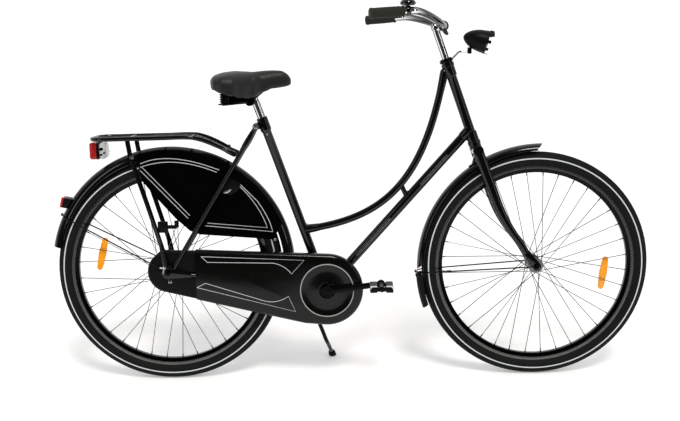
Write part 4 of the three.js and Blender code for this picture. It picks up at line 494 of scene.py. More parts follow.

# %% [markdown]
# Polished chrome shows the white studio where it faces us and the dark room where it turns away, which
# draws black edges along every tube. Here those dark edges are a painted reflection: Layer Weight darkens
# the base colour from face to edge, in any light.

# %% Painted dark reflection on the chrome's edges
tree = chrome.node_tree
base_input = tree.nodes["Principled BSDF"].inputs["Base Color"]
edge_weight = add_node(tree, "LayerWeight", {"Blend": 0.5}).outputs["Facing"]
bright_chrome = base_input.links[0].from_socket
painted_edge_reflection = (0.02, 0.02, 0.022, 1)
tree.links.new(mixed(tree, ramp(tree, edge_weight, 0.26, 0.52), bright_chrome, painted_edge_reflection), base_input)
print(len(bpy.data.materials), "materials so far")

# %% [markdown]
# A reflector is clear plastic over hundreds of tiny prisms. The prisms are too small to model, so a
# cell pattern gives them as bump and as a change of colour from cell to cell, under a glossy coat.

# %% Reflectors and lamp glass


def new_lens(name, colour, deep, cell_scale, painted_glow=0.0):
    material = new_finish(name, colour, 0.12, marked=deep, coat=0.25, grain=(600, 0.02), marks=(90, 0.5))
    tree = material.node_tree
    spot = add_node(tree, "TexCoord", {}).outputs["Object"]
    cells = add_node(tree, "TexVoronoi", {"Vector": spot, "Scale": cell_scale, "Randomness": 0.15},
                     distance="CHEBYCHEV").outputs["Distance"]
    prisms = add_node(tree, "Bump", {"Strength": 0.7, "Distance": 0.0008, "Height": cells})
    shown = mixed(tree, cells, (*colour, 1), (*deep, 1))
    inputs = {"Normal": prisms.outputs["Normal"], "Base Color": shown}
    # A small emission is a painted glow: the lens shines a little, though it is no lamp.
    if painted_glow:
        inputs |= {"Emission Color": shown, "Emission Strength": painted_glow}
    fill(tree, tree.nodes["Principled BSDF"], inputs)
    return material


# The orange and red reflectors get a painted glow besides their colour.
orange_lens = new_lens("orange_reflector", (1.0, 0.40, 0.008), (0.55, 0.16, 0.0), 170, 0.12)
red_lens = new_lens("red_reflector", (0.50, 0.012, 0.014), (0.16, 0.004, 0.006), 240, 0.08)
clear_lens = new_lens("clear_lens", (0.72, 0.74, 0.74), (0.30, 0.31, 0.32), 200)
lamp_glass = new_lens("lamp_glass", (0.85, 0.88, 0.90), (0.45, 0.46, 0.46), 150)
# The pale pedal tiles are a painted highlight where light falls on the rubber blocks.
pedal_painted_highlight = new_finish("pedal_painted_highlight_tiles", (0.75, 0.75, 0.76), 0.2, marked=(0.25, 0.25, 0.25), coat=0.3,
                         grain=(700, 0.4), marks=(260, 0.9))
print("lenses:", orange_lens.name, red_lens.name, clear_lens.name, lamp_glass.name)

# %% [markdown]
# ## Wheels
# A city tyre is a round tube of rubber on a rim, with fine grooves round its tread and a reflecting band
# on its wall. Its section is spun about the axle, and the band is simply the faces of the wall at
# the right radius in another finish.

# %% Tyres
wheel_centres = {"rear": (0.0, axle_height), "front": (wheelbase, axle_height)}
tyre_half = 23.0
tyre_centre_radius = axle_height - tyre_half
rim_edge_radius = 319.0
wheel_steps = 144
reflex_radii, painted_highlight_radii = (334.3, 339.3), (303.5, 317)


def tyre_profile():
    steps = 56
    start = degrees(asin((rim_edge_radius + 0.3 - tyre_centre_radius) / tyre_half))
    points = [(311.0, 10.6)]
    for i in range(steps + 1):
        turn = start + (180 - 2 * start) * i / steps
        from_crown = abs(turn - 90)
        groove = 1.3 if from_crown < 56 and (from_crown + 5) % 16 > 12.5 else 0.0
        reach = tyre_half - groove
        points.append((tyre_centre_radius + reach * sin(radians(turn)), reach * cos(radians(turn))))
    return points + [(311.0, -10.6)]


def paint_band(piece, centre, radii, on_wall):
    low, high = radii
    for face in piece.data.polygons:
        radius = hypot(face.center.x - centre[0], face.center.z - centre[1])
        face.material_index = 1 if low < radius < high and on_wall(face) else 0


for name, (x, z) in wheel_centres.items():
    tyre = turned(tyre_profile(), (x, 0, z), to_right, wheel_steps)
    paint_band(painted(tyre, tyre_rubber, reflex_band), (x, z), reflex_radii,
               lambda face: abs(face.center.y) > 0.8 * tyre_half)
    dress(tyre, f"{name}_tyre", f"{name}_wheel", smooth=30)

# %% [markdown]
# The rim is a rolled steel hoop with sloping walls and a narrow base where the spoke nipples sit. Its
# section is spun in the same way. The small hook at its edge catches the light as a thin ring, and a band
# of lighter metal on each wall is a painted highlight.

# %% Rims


def both_halves(half):
    return half + [(radius, -along) for radius, along in reversed(half)]


rim_section = both_halves([
    (292, 7), (294.5, 9.6), (301.5, 12.1), (304.5, 12.7), (314.5, 12.95), (316.5, 13.0), (318.5, 13.0), (319, 12.5),
    (319, 11.4), (318.4, 11), (310, 11)])
for name, (x, z) in wheel_centres.items():
    rim = turned(rim_section, (x, 0, z), to_right, wheel_steps)
    # The faces of each wall in the band get the painted highlight.
    paint_band(painted(rim, rim_paint, painted_rim_highlight), (x, z), painted_highlight_radii, lambda face: abs(face.normal.y) > 0.8)
    dress(rim, f"{name}_rim", f"{name}_wheel", smooth=24)

# %% [markdown]
# The hub is turned, with two thin flanges. Thirty-six spokes leave it, three times crossed: every
# second one leads and every second one trails. One spoke of each kind is drawn from its flange hole
# to its nipple, with its bent head, and copied round the hub.

# %% Hubs and spokes
spoke_count = 36
spoke_kinds = 4
lace_turn = 360 * 0.926 * 2 * 3 / (spoke_count / 2)
spoke_foot_radius = 292.0
hub_shapes = {
    "rear": (38.0, 29.0, [
        (5.3, -36), (26, -36), (28, -35), (28, -32.7), (37, -32.7), (38, -31.6), (38, -28.4), (37, -27.3),
        (29, -26.5), (28, -24), (28, 24), (29, 26.5), (37, 27.3), (38, 28.4), (38, 31.6), (37, 32.7),
        (28, 32.7), (28, 42), (27, 43), (5.3, 43)]),
    "front": (24.0, 31.0, both_halves([
        (11.5, 20), (14, 26), (23.2, 27.3), (24, 28.6), (24, 33.8), (23.2, 34.7), (15, 34.7), (15, 41),
        (12, 42.7), (5.3, 42.7)]) + [(11, 0)]),
}


def spoke(centre, flange, spread, index):
    side = 1 if index % 2 else -1
    trailing = 1 if (index // 2) % 2 else -1
    rim_angle = 360 * (index + 0.5) / spoke_count
    hole = polar(centre, flange - 2.6, rim_angle + trailing * lace_turn, side * spread + trailing * 2.0)
    end = polar(centre, spoke_foot_radius, rim_angle, side * 2.9)
    along = (end - hole).normalized()
    wire = stepped([hole + Vector((0, side * -1.6 * trailing, 0)), hole + along * 2.2, end - along * 4], 1.15, 1)
    head = rod(hole - Vector((0, 1.3, 0)), hole + Vector((0, 1.3, 0)), 1.9, 1)
    nipple = stepped([end - along * 11, end - along * 9.5, end + along * 0.5], [1.2, 2.0, 2.1], 1)
    return joined([wire, head, nipple])


for name, (x, z) in wheel_centres.items():
    flange, spread, profile = hub_shapes[name]
    spokes = [spoke((x, z), flange, spread, i) for i in range(spoke_kinds)]
    about_axle = Matrix.Translation((x, 0, z))
    for repeat in range(1, spoke_count // spoke_kinds):
        spin = Matrix.Rotation(radians(-360 * repeat * spoke_kinds / spoke_count), 4, "Y")
        spokes += [copy_of(first, about_axle @ spin @ about_axle.inverted()) for first in spokes[:spoke_kinds]]
    finish_piece(spokes, f"{name}_spokes", f"{name}_wheel", spoke_steel)
    finish_piece(turned(profile, (x, 0, z)), f"{name}_hub", f"{name}_wheel", steel,
                 [f"{name}_hub_and_spokes"], smooth=30)

# %% [markdown]
# Each wheel has an orange reflector between its spokes. It is a rounded bar with a raised rim, and two
# clips hold it to the spokes. A valve stands on the rim.

# %% Spoke reflectors and valves
reflector_angles = {"rear": 166.7, "front": -8.7}
valve_angles = {"rear": 62.0, "front": 184.5}
valve_steps = [(0, 4.5), (0.2, 4.2), (0.25, 3.0), (0.6, 3.0), (0.65, 3.9), (1, 3.4)]
for name, centre in wheel_centres.items():
    out = turn_to(radians(reflector_angles[name]))
    body = plate(belt([(-44.5, 0, 8.5), (0, 0, 12), (44.5, 0, 8.5), (0, 0, 12)], 48), -5.6, 5.6, 1.2, 3)
    edit(body)
    bpy.ops.mesh.select_all(action="DESELECT")
    object_mode()
    for face in body.data.polygons:
        face.select = abs(face.normal.y) > 0.99 and face.area > 900
    bpy.ops.object.mode_set(mode="EDIT")
    bpy.ops.mesh.inset(thickness=1.6, depth=0)
    bpy.ops.mesh.inset(thickness=0.5, depth=-0.7)
    object_mode()
    clips = [rod((x, 0, -10.5), (x, 0, 10.5), 2.2, 3) for x in (-30, 30)]
    for clip in clips:
        clip.data.transform(Matrix.Scale(2.6, 4, across))
    reflector = joined([body, *clips])
    seat = polar(centre, 223.0, reflector_angles[name])
    upright = Matrix((Vector(across).cross(out), Vector(across), out)).transposed().to_4x4()
    reflector.data.transform(Matrix.Translation(seat) @ upright)
    finish_piece(reflector, f"{name}_reflector_dressed", f"{name}_wheel", orange_lens,
                 stands_for=[f"{name}_spoke_reflector"])
    foot, tip = polar(centre, 292.5, valve_angles[name]), polar(centre, 262, valve_angles[name])
    valve = stepped([foot.lerp(tip, share) for share, _ in valve_steps], [radius for _, radius in valve_steps], 3)
    finish_piece(valve, f"{name}_valve", f"{name}_wheel", steel)

# %% [markdown]
# ## Frame
# A lugged steel frame: the head tube carries a lug and a bearing cup at each end, and the long
# swan-necked top tube gives the low step. Every tube is drawn along its own centre line.

# %% Axes of the seat tube and the head tube
seat_angle, head_angle = radians(70.75), radians(71.2)
seat_base, head_base = Vector((490, 0, 295)), Vector((965.5, 0, 744))
seat_up = Vector((-cos(seat_angle), 0, sin(seat_angle)))
head_up = Vector((-cos(head_angle), 0, sin(head_angle)))
head_ahead = Vector((sin(head_angle), 0, cos(head_angle)))
bracket = Vector((498, 0, 295))


def on_seat(distance):
    return seat_base + seat_up * distance


def on_head(distance):
    return head_base + head_up * distance


# %% Head tube, top tube and down tube
head = turned([
    (13.3, -12), (19.6, -12), (20.5, -11), (20.5, -2), (19.5, -0.6), (18.5, 0), (18.5, 27), (17.6, 29.4), (15.9, 30.4),
    (15.3, 32), (15.3, 210), (15.9, 211.6), (17.6, 212.6), (18.5, 215), (18.5, 242), (19.5, 242.6), (20.5, 244),
    (20.5, 253), (19.6, 254), (13.3, 254), (13.3, 242), (13.75, 242), (13.75, 0), (13.3, 0)], on_head(8), head_up)
dress(head, "head_tube", "frame", paint, smooth=30)

top_low = on_seat(194)
top_high = on_head(241.5) - head_ahead * 16.2
top_path = pull_curve(top_low, top_low + turn_to(radians(6.7)) * 259.7,
                      top_high - turn_to(radians(79.4)) * 351.5, top_high, 32)
top_tube = bent(top_path, 11.75, around=8, finer=2)
low_lug = bent(top_path[:3], [14.4, 14.2, 12.4], around=8)
high_lug = bent([*top_path[-3:], top_high + head_up * 5 + head_ahead * 4, top_high + head_up * 9 + head_ahead * 9],
                [11.9, 12.9, 12.9, 9.5, 4.5], around=8)
dress([top_tube, low_lug, high_lug], "top_tube", "frame", paint)

down_low, down_high = Vector((498, 0, 290)), on_head(45)
down_way = (down_high - down_low).normalized()
bridge_low = down_low + down_way * 382
down_parts = [
    rod(down_low, down_high, 15, 8),
    stepped([down_high - down_way * 34, down_high - down_way * 30, down_high], [15.4, 17, 17.2], 8),
    rod(bridge_low, top_path[17], 8, 6),
    stepped([bridge_low + Vector((-2, 0, 12)), bridge_low + Vector((-4, 0, 24))], [11, 8.2], 6)]
dress(down_parts, "down_tube", "frame", paint)
tube_lines = []
for line_start, line_end in ((140, 300), (442, 568)):
    for offset in (-2.4, 2.4):
        beside = Vector((-down_way.z, 0, down_way.x)) * offset + Vector((0, -14.7, 0))
        line_low, line_high = (down_low + down_way * far + beside for far in (line_start, line_end))
        tube_lines.append(rod(line_low, line_high, 0.4, 1))
finish_piece(tube_lines, "down_tube_lines", "frame", ring_silver)

# %% [markdown]
# The seat tube ends in a lug with a short web behind it, where one bolt clamps the post and holds the
# two seat stays. The bracket shell below is a plain turned tube with its bearing cups.

# %% Seat tube, bracket shell and the seat bolt
bolt_place = on_seat(571 - 28) - Vector((25.2, 0, 0))
seat_tube = turned([(13, 0), (14.3, 0), (14.3, 524), (15.4, 526), (17.2, 529), (17.5, 532), (17.5, 568), (16.8, 571),
                    (13, 571)], seat_base, seat_up)
web = plate(belt([(bolt_place.x, bolt_place.z, 8), (bolt_place.x + 13, bolt_place.z + 2, 12)], 48), -8, 8, 1.5)
boss = turned(ring(5.3, 11, -17.5, 17.5, 1), bolt_place)
dress([seat_tube, web, boss], "seat_tube", "frame", paint)
shell = turned(ring(9, 20.5, -36.5, 36.5, 1) + [(9, 24), (17, 24), (17, -24), (9, -24)], bracket)
finish_piece(shell, "bracket_shell_dressed", "frame", paint, stands_for=["bottom_bracket_shell"])
bolt = turned(both_halves([(5, 29.1), (8.5, 29.1), (8.5, 30.6), (7, 33.6), (3, 35.2), (0, 35.2)]), bolt_place, steps=32)
finish_piece(bolt, "seat_bolt_dressed", "frame", steel, stands_for=["seat_stay_bolt"], smooth=30)

# %% [markdown]
# The stays come in pairs. The right one of each pair is drawn and the left one is its mirror image.
# Each seat stay starts as a flat eye on the bolt, swells to a thick root and bends down to the axle.

# %% Seat stays and chain stays


def dress_pair(piece, node_name, finish):
    for name, one in (("right", piece), ("left", mirrored(piece))):
        dress(one, f"{node_name}_{name}", "frame", finish)


stay_top = Vector((bolt_place.x, -23.3, bolt_place.z))
stay_bend = Vector((bolt_place.x - 22.7, -38, bolt_place.z - 37.7))
stay_foot = Vector((18, -60, 370))
eye = turned(ring(5.3, 11, -28.8, -17.8, 1.4, 1.2), (bolt_place.x, 0, bolt_place.z), steps=40)
stay_path = [stay_top, stay_top.lerp(stay_bend, 0.75),
             *(stay_bend.lerp(stay_foot, share) for share in (0.035, 0.1, 0.5)), stay_foot]
stay = bent(stay_path, [6.2, 8.6, 9.4, 7.2, 7.0, 6.8], around=7, finer=10)
dress_pair(joined([eye, stay]), "seat_stay", paint)

stay_points = [(487.75, -24, 295), (400, -32, 300), (300, -36, 313), (170, -46.5, 334), (72, -57.5, 348)]
tube = bent(stay_points, [9, 9, 9, 8.6, 6.5], around=7, finer=10)
dropout = plate(belt([(0, axle_height, 21), (73, 347, 6)], 64), -62.5, -57.5, 0.8)
dress_pair(joined([tube, dropout]), "chain_stay", paint)

# %% [markdown]
# ## Mudguards
# A mudguard is sheet steel with a domed section. The section is drawn as a closed outline, out
# along the top and back along the underside with a rolled edge, and spun about the guard's own centre.

# %% Mudguards and the flap
rear_guard_centre, rear_guard_radius, rear_guard_depth = (10.0, 361.5), 387, 32
front_guard_centre, front_guard_radius, front_guard_depth = (1175.0, 349.0), 391.5, 20
guard_half, guard_sheet = 29, 1.4


def guard_profile(radius, half, depth, sheet, steps=14):
    outer, inner = [], []
    for i in range(steps + 1):
        turn = -pi / 2 + pi * i / steps
        outer.append((radius + depth * (cos(turn) - 1), half * sin(turn)))
        inner.append((radius - depth + (depth - sheet) * cos(turn), (half - sheet) * sin(turn)))
    return outer + inner[::-1]


def guard(centre, radius, from_angle, to_angle, half, depth, sheet):
    arc = to_angle - from_angle
    return turned(guard_profile(radius, half, depth, sheet), (centre[0], 0, centre[1]), to_right,
                  max(8, round(arc / 2)), arc, from_angle)


def edge_wires(centre, radius, angles):
    return [bent([polar(centre, radius, a, y) for a in angles], 1.1, around=2, finer=3) for y in (-28.6, 28.6)]


rear_guard = guard(rear_guard_centre, rear_guard_radius, -4, 168.5, guard_half, rear_guard_depth, guard_sheet)
dress([rear_guard, *edge_wires(rear_guard_centre, 355.2, range(-4, 169, 6))], "rear_mudguard", "frame", guard_paint)
front_guard = guard(front_guard_centre, front_guard_radius, 89.7, 184.4, guard_half, front_guard_depth, guard_sheet)
cut_at(front_guard, (1177, 0, 740.5), (25, 0, -16))
dress([front_guard, *edge_wires(front_guard_centre, 371.7, range(92, 185, 4))], "front_mudguard", "steering",
      guard_paint)
flap = cut_at(guard(front_guard_centre, 394.5, 182.6, 199.4, 32, 20, 2.4), polar(front_guard_centre, 394.5, 199.2),
              (34, 0, -17))
rivets = [rod(polar(front_guard_centre, 394, 183.6, y), polar(front_guard_centre, 396.4, 183.6, y), 3, 4)
          for y in (-9, 9)]
dress([flap, *rivets], "mud_flap", "steering", rubber)

# %% [markdown]
# A wire loop steadies each guard. It leaves an eye on the axle, runs along the spokes, goes round the
# guard's edge and comes back on the other side. A small bolted clip holds it to the guard.

# %% Mudguard stays


def guard_loop(axle, eye_from, centre, radius, depth, angle):
    inner = radius - depth
    near = [(inner - 20, 31.5), (inner + depth * 0.02, 31.5), (inner + (depth + 2.5) * 0.70, 22.3)]
    eye_centre = Vector((axle[0], eye_from + 0.8, axle[1]))
    toward = (polar(centre, inner, angle, 31.5) - eye_centre).normalized()
    half = [eye_centre + toward * 7.8] + [polar(centre, reach, angle, y) for reach, y in near]
    other = [Vector((p.x, -p.y, p.z)) for p in reversed(half)]
    loop = stepped([*half, polar(centre, radius + 2.5, angle, 0), *other], 2.2, 3)
    eyes = [turned(ring(5.3, 10, y, y + 1.6), (axle[0], 0, axle[1]), steps=32) for y in (eye_from, -eye_from - 1.6)]
    clip = turned([(0, -1.2), (6, -1.2), (6, 1.5), (4, 3.2), (0, 3.2)], polar(centre, radius + 4.2, angle, 0),
                  polar(centre, 10, angle) - polar(centre, 0, angle), steps=6, ahead=across)
    return [loop, *eyes, clip]


for name, body, eye_from, centre, radius, depth, angle in (
        ("rear", "frame", 62.8, rear_guard_centre, rear_guard_radius, rear_guard_depth, 153.2),
        ("front", "steering", 54.3, front_guard_centre, front_guard_radius, front_guard_depth, 181.6)):
    loop = guard_loop(wheel_centres[name], eye_from, centre, radius, depth, angle)
    finish_piece(loop, f"{name}_stay_wire", body, dark_steel, stands_for=[f"{name}_mudguard_stays"])

# %% [markdown]
# The reflector on the rear guard is a black foot with a red face. Both are wedges, drawn from the side
# in the guard's own polar coordinates and made wide.

# %% Mudguard reflector
foot_corners = polar_corners(rear_guard_centre, (384, 143.9), (407.5, 145.4), (399, 149.7), (384, 149.0))
face_corners = polar_corners(rear_guard_centre, (407.3, 145.3), (414.6, 145.7), (404.9, 150.0), (398.8, 149.8))
foot = painted(plate(foot_corners, -21, 21, 1.5, 3), cap_finish)
lens = painted(plate(face_corners, -22, 22, 1.8, 3), red_lens)
dress([foot, lens], "mudguard_reflector", "frame")

# %% [markdown]
# ## Coat guards
# The coat guard is a vinyl sheet laced beside the rear wheel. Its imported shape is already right, with
# the slot for the lock, so it keeps its mesh and gets the vinyl. The pale double lines are thin
# raised ribbons of paint, drawn as wires and pressed nearly flat.

# %% Coat guard lines
lift = 0.4


def painted_line(points, y, half_width, closed=False):
    path = [Vector((x, 0, z)) for x, z in points]
    if closed:
        path.append(path[0].copy())
    line = stepped(path, half_width, 2)
    line.data.transform(Matrix.Translation((0, y, 0)) @ Matrix.Scale(lift / half_width, 4, across))
    return line


def arc_points(first, middle, last, steps=14):
    control = (2 * middle[0] - (first[0] + last[0]) / 2, 2 * middle[1] - (first[1] + last[1]) / 2)
    points = []
    for i in range(steps + 1):
        t = i / steps
        points.append(tuple((1 - t) ** 2 * a + 2 * t * (1 - t) * c + t * t * b
                            for a, c, b in zip(first, control, last)))
    return points


for side, name in both_sides:
    sheet = frame["nodes"][f"coat_guard_{name}"]
    sheet.data.materials.clear()
    painted(sheet, vinyl)
    ribbons = [
        (1.15, arc_points((-78, 697.8), (27.7, 712.1), (167.5, 674.9))),
        (1.15, arc_points((-78.5, 686.9), (33.5, 701.1), (159.5, 667.8))),
        (1.15, [(-78.9, 677.2), (64.9, 523.5)]),
        (1.15, [(-72.3, 686.5), (70.6, 532.6)]),
        (1.15, [(233, 627.4), *arc_points((284, 575.3), (314.6, 522.8), (329.7, 477.4), 6), (118.4, 499.4)]),
        (1.05, [(231.3, 621.2), *arc_points((231.3, 621.2), (281, 560), (313.7, 490.4), 6), (125, 507.9)])]
    finish_piece([painted_line(points, side * 31.15, half_width) for half_width, points in ribbons],
                 f"coat_guard_lines_{name}", "frame", stripe_paint)

# %% [markdown]
# ## Chain case
# The closed chain case is the largest glossy surface of the bike. A belt round four circles gives its
# outline. It is a shell: the outer form has a large bevel, and a smaller copy is cut away inside,
# with the holes for the bracket, the hub and the stay. The rear end is a lower cap of matt plastic.

# %% Chain case, rear cap and round cover
rear_axle_centre = (0, 0, axle_height)


def case_form(rise, points, inset, y_from, y_to, edge, segments):
    circles = [(0, axle_height, 66), (430, 206, 19), (498, 295, 113.5), (-17, 416 + rise, 11)]
    return plate(belt(circles, points, inset), y_from, y_to, edge, segments)


def keep_side(piece, x, ahead):
    return cut_at(piece, (x, 0, 0), (1, 0, 0), ahead)


def drum(centre, radius, y_from, y_to):
    return turned(ring(0, radius, y_from, y_to), centre)


def stay_room():
    return bent(stay_points, 11.0, finer=6)


case = keep_side(case_form(6.0, 120, 0, -33.5, -70, 0, 0), 40, True)
case = keep_side(soften(case, 14, 8), 88, True)
cavity = keep_side(case_form(6.0, 120, 1.4, -34.9, -68.6, 0, 0), 38, True)
cavity = keep_side(soften(cavity, 12.6, 4), 86.6, True)
cut(case, cavity, drum(bracket, 20.8, -40, -30), stay_room(), drum(bracket, 78, -72, -66))
dress(case, "chain_case", "frame", case_finish)

cap = keep_side(case_form(0, 96, 0, -33.5, -55.5, 8, 6), 87.7, False)
cavity = keep_side(case_form(0, 96, 1.4, -34.9, -54.1, 6.6, 4), 89, False)
cut(cap, cavity, drum(rear_axle_centre, 29.5, -40, -30), drum(rear_axle_centre, 9.5, -58, -52), stay_room())
seam_lip = plate([(84.5, 421.5), (89.5, 421.6), (95, 278.5), (90, 280)], -54.0, -56.6, 0.8)
finish_piece([cap, seam_lip], "chain_case_cap_dressed", "frame", cap_finish, stands_for=["chain_case_rear_cap"])

cover = turned([(24, 70.3), (78, 70.3), (86, 70.3), (86, 71.4), (85.2, 71.9), (80, 72.1), (78.5, 71.6),
                (60, 71.4), (30, 71.3), (26, 72.0), (24, 71.6)], bracket, to_right, 96)
silver = turned([(81.2, 71.7), (81.6, 72.35), (84.4, 72.35), (84.8, 71.7)], bracket, to_right, 96)
finish_piece([painted(cover, case_finish), painted(silver, ring_silver)], "chain_case_cover_dressed", "frame",
             stands_for=["chain_case_disc"], smooth=30)

# %% [markdown]
# Two thin outlines decorate the case, one along its upper edge and one along its lower edge. Each is
# a closed line of straight sides and one hollow curve.

# %% Chain case lines
upper = [(106.8, 408.4), (427.8, 392.1), (388.1, 349.1), *arc_points((388.1, 349.1), (362, 373), (329.9, 384.4), 8),
         (125.8, 390.0)]
lower = [(90.9, 309.7), (117.1, 323.4), (294.4, 265.9), *arc_points((294.4, 265.9), (337, 261.5), (376.7, 277.9), 8),
         (397.8, 228.3)]
finish_piece([painted_line(points, -70.05, 1.0, closed=True) for points in (upper, lower)], "chain_case_lines",
             "frame", stripe_paint)

# %% [markdown]
# ## Cranks and pedals
# A cottered crank is forged: round at the axle, a tapering arm, and a smaller eye at the pedal. Arm,
# boss and eye are cut as plates with generous bevels. The pedal turns on its axle, with two rubber
# blocks held between end plates.

# %% Cranks
crank_length = 170


def crank(side):
    turn = radians(7 if side < 0 else 187)
    along, outward = turn_to(turn), (0, side, 0)
    end = bracket + along * crank_length
    arm = plate(belt(sorted([(bracket.x, bracket.z, 11), (end.x, end.z, 8.5)]), 48), side * 74, side * 85, 3.0, 4)
    boss = turned([(8.8, 73), (17, 73), (18, 74), (18, 84.5), (16.5, 86), (8.8, 86)], bracket, outward)
    eye = turned(ring(0, 13, 73.5, 85.5, 1), end, outward)
    pin = turned([(0, 80), (5.5, 80), (5.5, 154), (4.5, 156), (0, 156)], end, outward, 24)
    across_arm = Vector((-sin(turn), 0, cos(turn)))
    cotter_place = bracket + Vector((0, side * 79.5, 0)) + along * 9.5
    cotter = stepped([cotter_place + across_arm * reach for reach in (-20, 17, 18, 23)], [4.0, 4.4, 6.0, 6.0], 4)
    return joined([arm, boss, eye, pin, cotter]), end


pedal_places = {}
for side, name in both_sides:
    arm, pedal_places[name] = crank(side)
    dress(arm, f"crank_{name}", "crankset", dark_steel)
for name in ("chainring", "rear_sprocket", "chain"):
    frame["nodes"][name].data.materials.clear()
    painted(frame["nodes"][name], dark_steel)
spindle_end = turned([(0, 84), (8.5, 84), (8.5, 86.2), (7.4, 87.2), (0, 87.2)], bracket, to_right, 32)
finish_piece([spindle_end, mirrored(spindle_end)], "spindle_ends", "crankset", dark_steel)

# %% Pedals


def pedal(side, end):
    def slab(along, level, half_x, half_z, out_from, out_to, edge=0.6, segments=2):
        return plate(box(end.x + along, end.z + level, half_x, half_z), side * out_from, side * out_to, edge, segments)

    parts = [turned([(5.9, 91), (9, 91), (9, 96), (7.5, 98), (7.5, 150), (9, 152), (9, 157), (7, 159), (5.9, 159)],
                    end, (0, side, 0), 32)]
    for out in (91, 156):
        end_plate = belt([(end.x - 26, end.z, 7), (end.x + 26, end.z, 7)], 40)
        parts.append(plate(end_plate, side * out, side * (out + 3), 0.8))
    for along in (-24.5, 24.5):
        block = slab(along, 0, 11, 11.5, 94, 156, 2.2, 3)
        for groove in range(5):
            place = 101 + groove * 12
            for level in (-12, 12):
                cut(block, slab(along, level, 12, 1.6, place, place + 3, 0))
        parts.append(block)
    for part in parts:
        painted(part, cap_finish)
    parts += [painted(slab(along, 0, 2.0, 7, 101, 149), orange_lens) for along in (-33.6, 33.6)]
    # Pale tiles on the upper half of each block end are a painted highlight.
    parts += [painted(slab(along, 5.75, 10, 5.25, 155.5, 157.6), pedal_painted_highlight) for along in (-24.5, 24.5)]
    return joined(parts)


for side, name in both_sides:
    dress(pedal(side, pedal_places[name]), f"pedal_{name}", f"pedal_{name}")

# %% [markdown]
# ## Axles
# The axle nuts are domed caps on a hexagon. The nut is turned in six steps, which gives the hexagon,
# and a round dome is turned in many.

# %% Axles with their nuts
nut_profiles = (
    ([(5, 0), (8.3, 0), (8.5, 0.8), (8.5, 8), (7.6, 9), (5, 9)], 6),
    ([(0, 8), (7.2, 8), (7.0, 10), (5.1, 12.4), (0, 13)], 32),
    (ring(5.2, 9.6, -0.1, 1.3), 32))


def axle(centre, dropout_in, nut_from, hub_right, hub_left):
    core = turned(ring(0, 5, -nut_from - 4, nut_from + 4), centre, steps=24)
    cones = [turned(ring(5, 8, low, high), centre, steps=24)
             for low, high in ((-dropout_in + 0.3, -hub_right - 0.3), (hub_left + 0.3, dropout_in - 0.3)) if high > low]
    ends = [turned([(radius, nut_from + along) for radius, along in profile], centre, (0, side, 0), steps)
            for side in (-1, 1) for profile, steps in nut_profiles]
    return [core, *cones, *ends]


for name, body, sizes in (("rear", "frame", (57.5, 68.0, 50, 43)), ("front", "steering", (49, 56.2, 42.7, 42.7))):
    x, z = wheel_centres[name]
    dress(axle((x, 0, z), *sizes), f"{name}_axle", body, dark_steel, smooth=25)

# %% [markdown]
# Beside the rear axle sit a bright chain tensioner and a square clip bolt, and on the left a
# brake arm holds the coaster hub to the chain stay.

# %% Chain tensioner, clip bolt and brake arm
tensioner = [rod((-11.5, -66, 379), (-13, -66, 355), 2.8, 4), rod((-24, -66, 374), (-6, -66, 371.6), 2.8, 4),
             rod((-12.5, -66, 364), (-12.5, -55, 364), 2.4, 4)]
finish_piece(tensioner, "chain_tensioner", "frame", bright_zinc)
stay_bolt = turned([(0, -68), (9.5, -68), (9.5, -72), (8.6, -75), (5.5, -77.6), (0, -78.6)], (9.4, 0, 375), steps=32)
finish_piece(stay_bolt, "stay_end_bolt", "frame", dark_steel)
clip = [painted(plate(box(5.5, 328.5, 6, 6), -55.2, -60.4, 1.0), steel),
        painted(plate(box(5.5, 328.5, 2.7, 2.7), -59.8, -61.4), dark_steel)]
finish_piece(clip, "case_clip", "frame")
arm = plate(belt([(0, axle_height, 16), (150, 307.5, 7)], 48), 44.5, 47, 0.7)
cut(arm, drum(rear_axle_centre, 8.3, 40, 50))
strap = turned(ring(9.3, 10.6, -5, 5), (140, 49.3, 339), (-1, 0.09, 0.16), 32)
dress([arm, strap], "brake_arm", "frame", steel)

# %% [markdown]
# ## Carrier and rear light
# The carrier is one loop of tube with cross bars and two inner rails, on a flat leg each side. Its
# front ends come together in a dark clamp on the seat stays.

# %% Carrier
loop_half = [(212, 33, 725), (165, 49.5, 752.5), (100, 63.5, 778), (80, 66, 780.6), (0, 66, 780), (-150, 66, 778.4),
             (-196, 64.5, 778), (-214, 53, 778), (-221.4, 38, 778)]
loop_points = [*loop_half, (-222, 0, 778), *((x, -y, z) for x, y, z in reversed(loop_half))]
rails = [bent(loop_points, 7, around=6)]
rails += [rod((x, -66, 780), (x, 66, 780), 3.5, 4) for x in (-105, -8, 84)]
rails += [bent([(-222, y, 778), (-60, y, 780), (84, y, 781), (132, y * 0.95, 765), (200, y * 0.8, 731)], 3.6, around=4)
          for y in (-22, 22)]
leg_line = [(-108, 776), (-100, 723), (-54, 573), (-16, 443), (0, axle_height)]
for side in (-1, 1):
    rails += [plate(strip(leg_line, 15), side * 64.7, side * 67.7, 1.0),
              plate(belt([(0, axle_height, 11), (-16, 443, 7.5)], 40), side * 64.7, side * 67.7, 0.8),
              plate(strip([(-96, 710), (-54, 573), (-18, 450)], 6), side * 67.0, side * 69.0, 0.9)]
rails.append(plate(box(-198.1, 772, 1.5, 6), -20, 20, 0.5))
dress(rails, "carrier", "frame", paint)
nose_clamp = [plate(belt([(196, 734, 7), (217, 724, 8)], 32), side * 24, side * 41, 2, 3) for side in (-1, 1)]
finish_piece([*nose_clamp, rod((209, -34, 727), (209, 34, 727), 5, 4)], "carrier_nose_clamp", "frame", cap_finish)


def carrier_bolt(x, z, out, side):
    return turned([(0, out), (6, out), (6, out + 2), (4.5, out + 3.6), (0, out + 4)], (x, 0, z), (0, side, 0), 24)


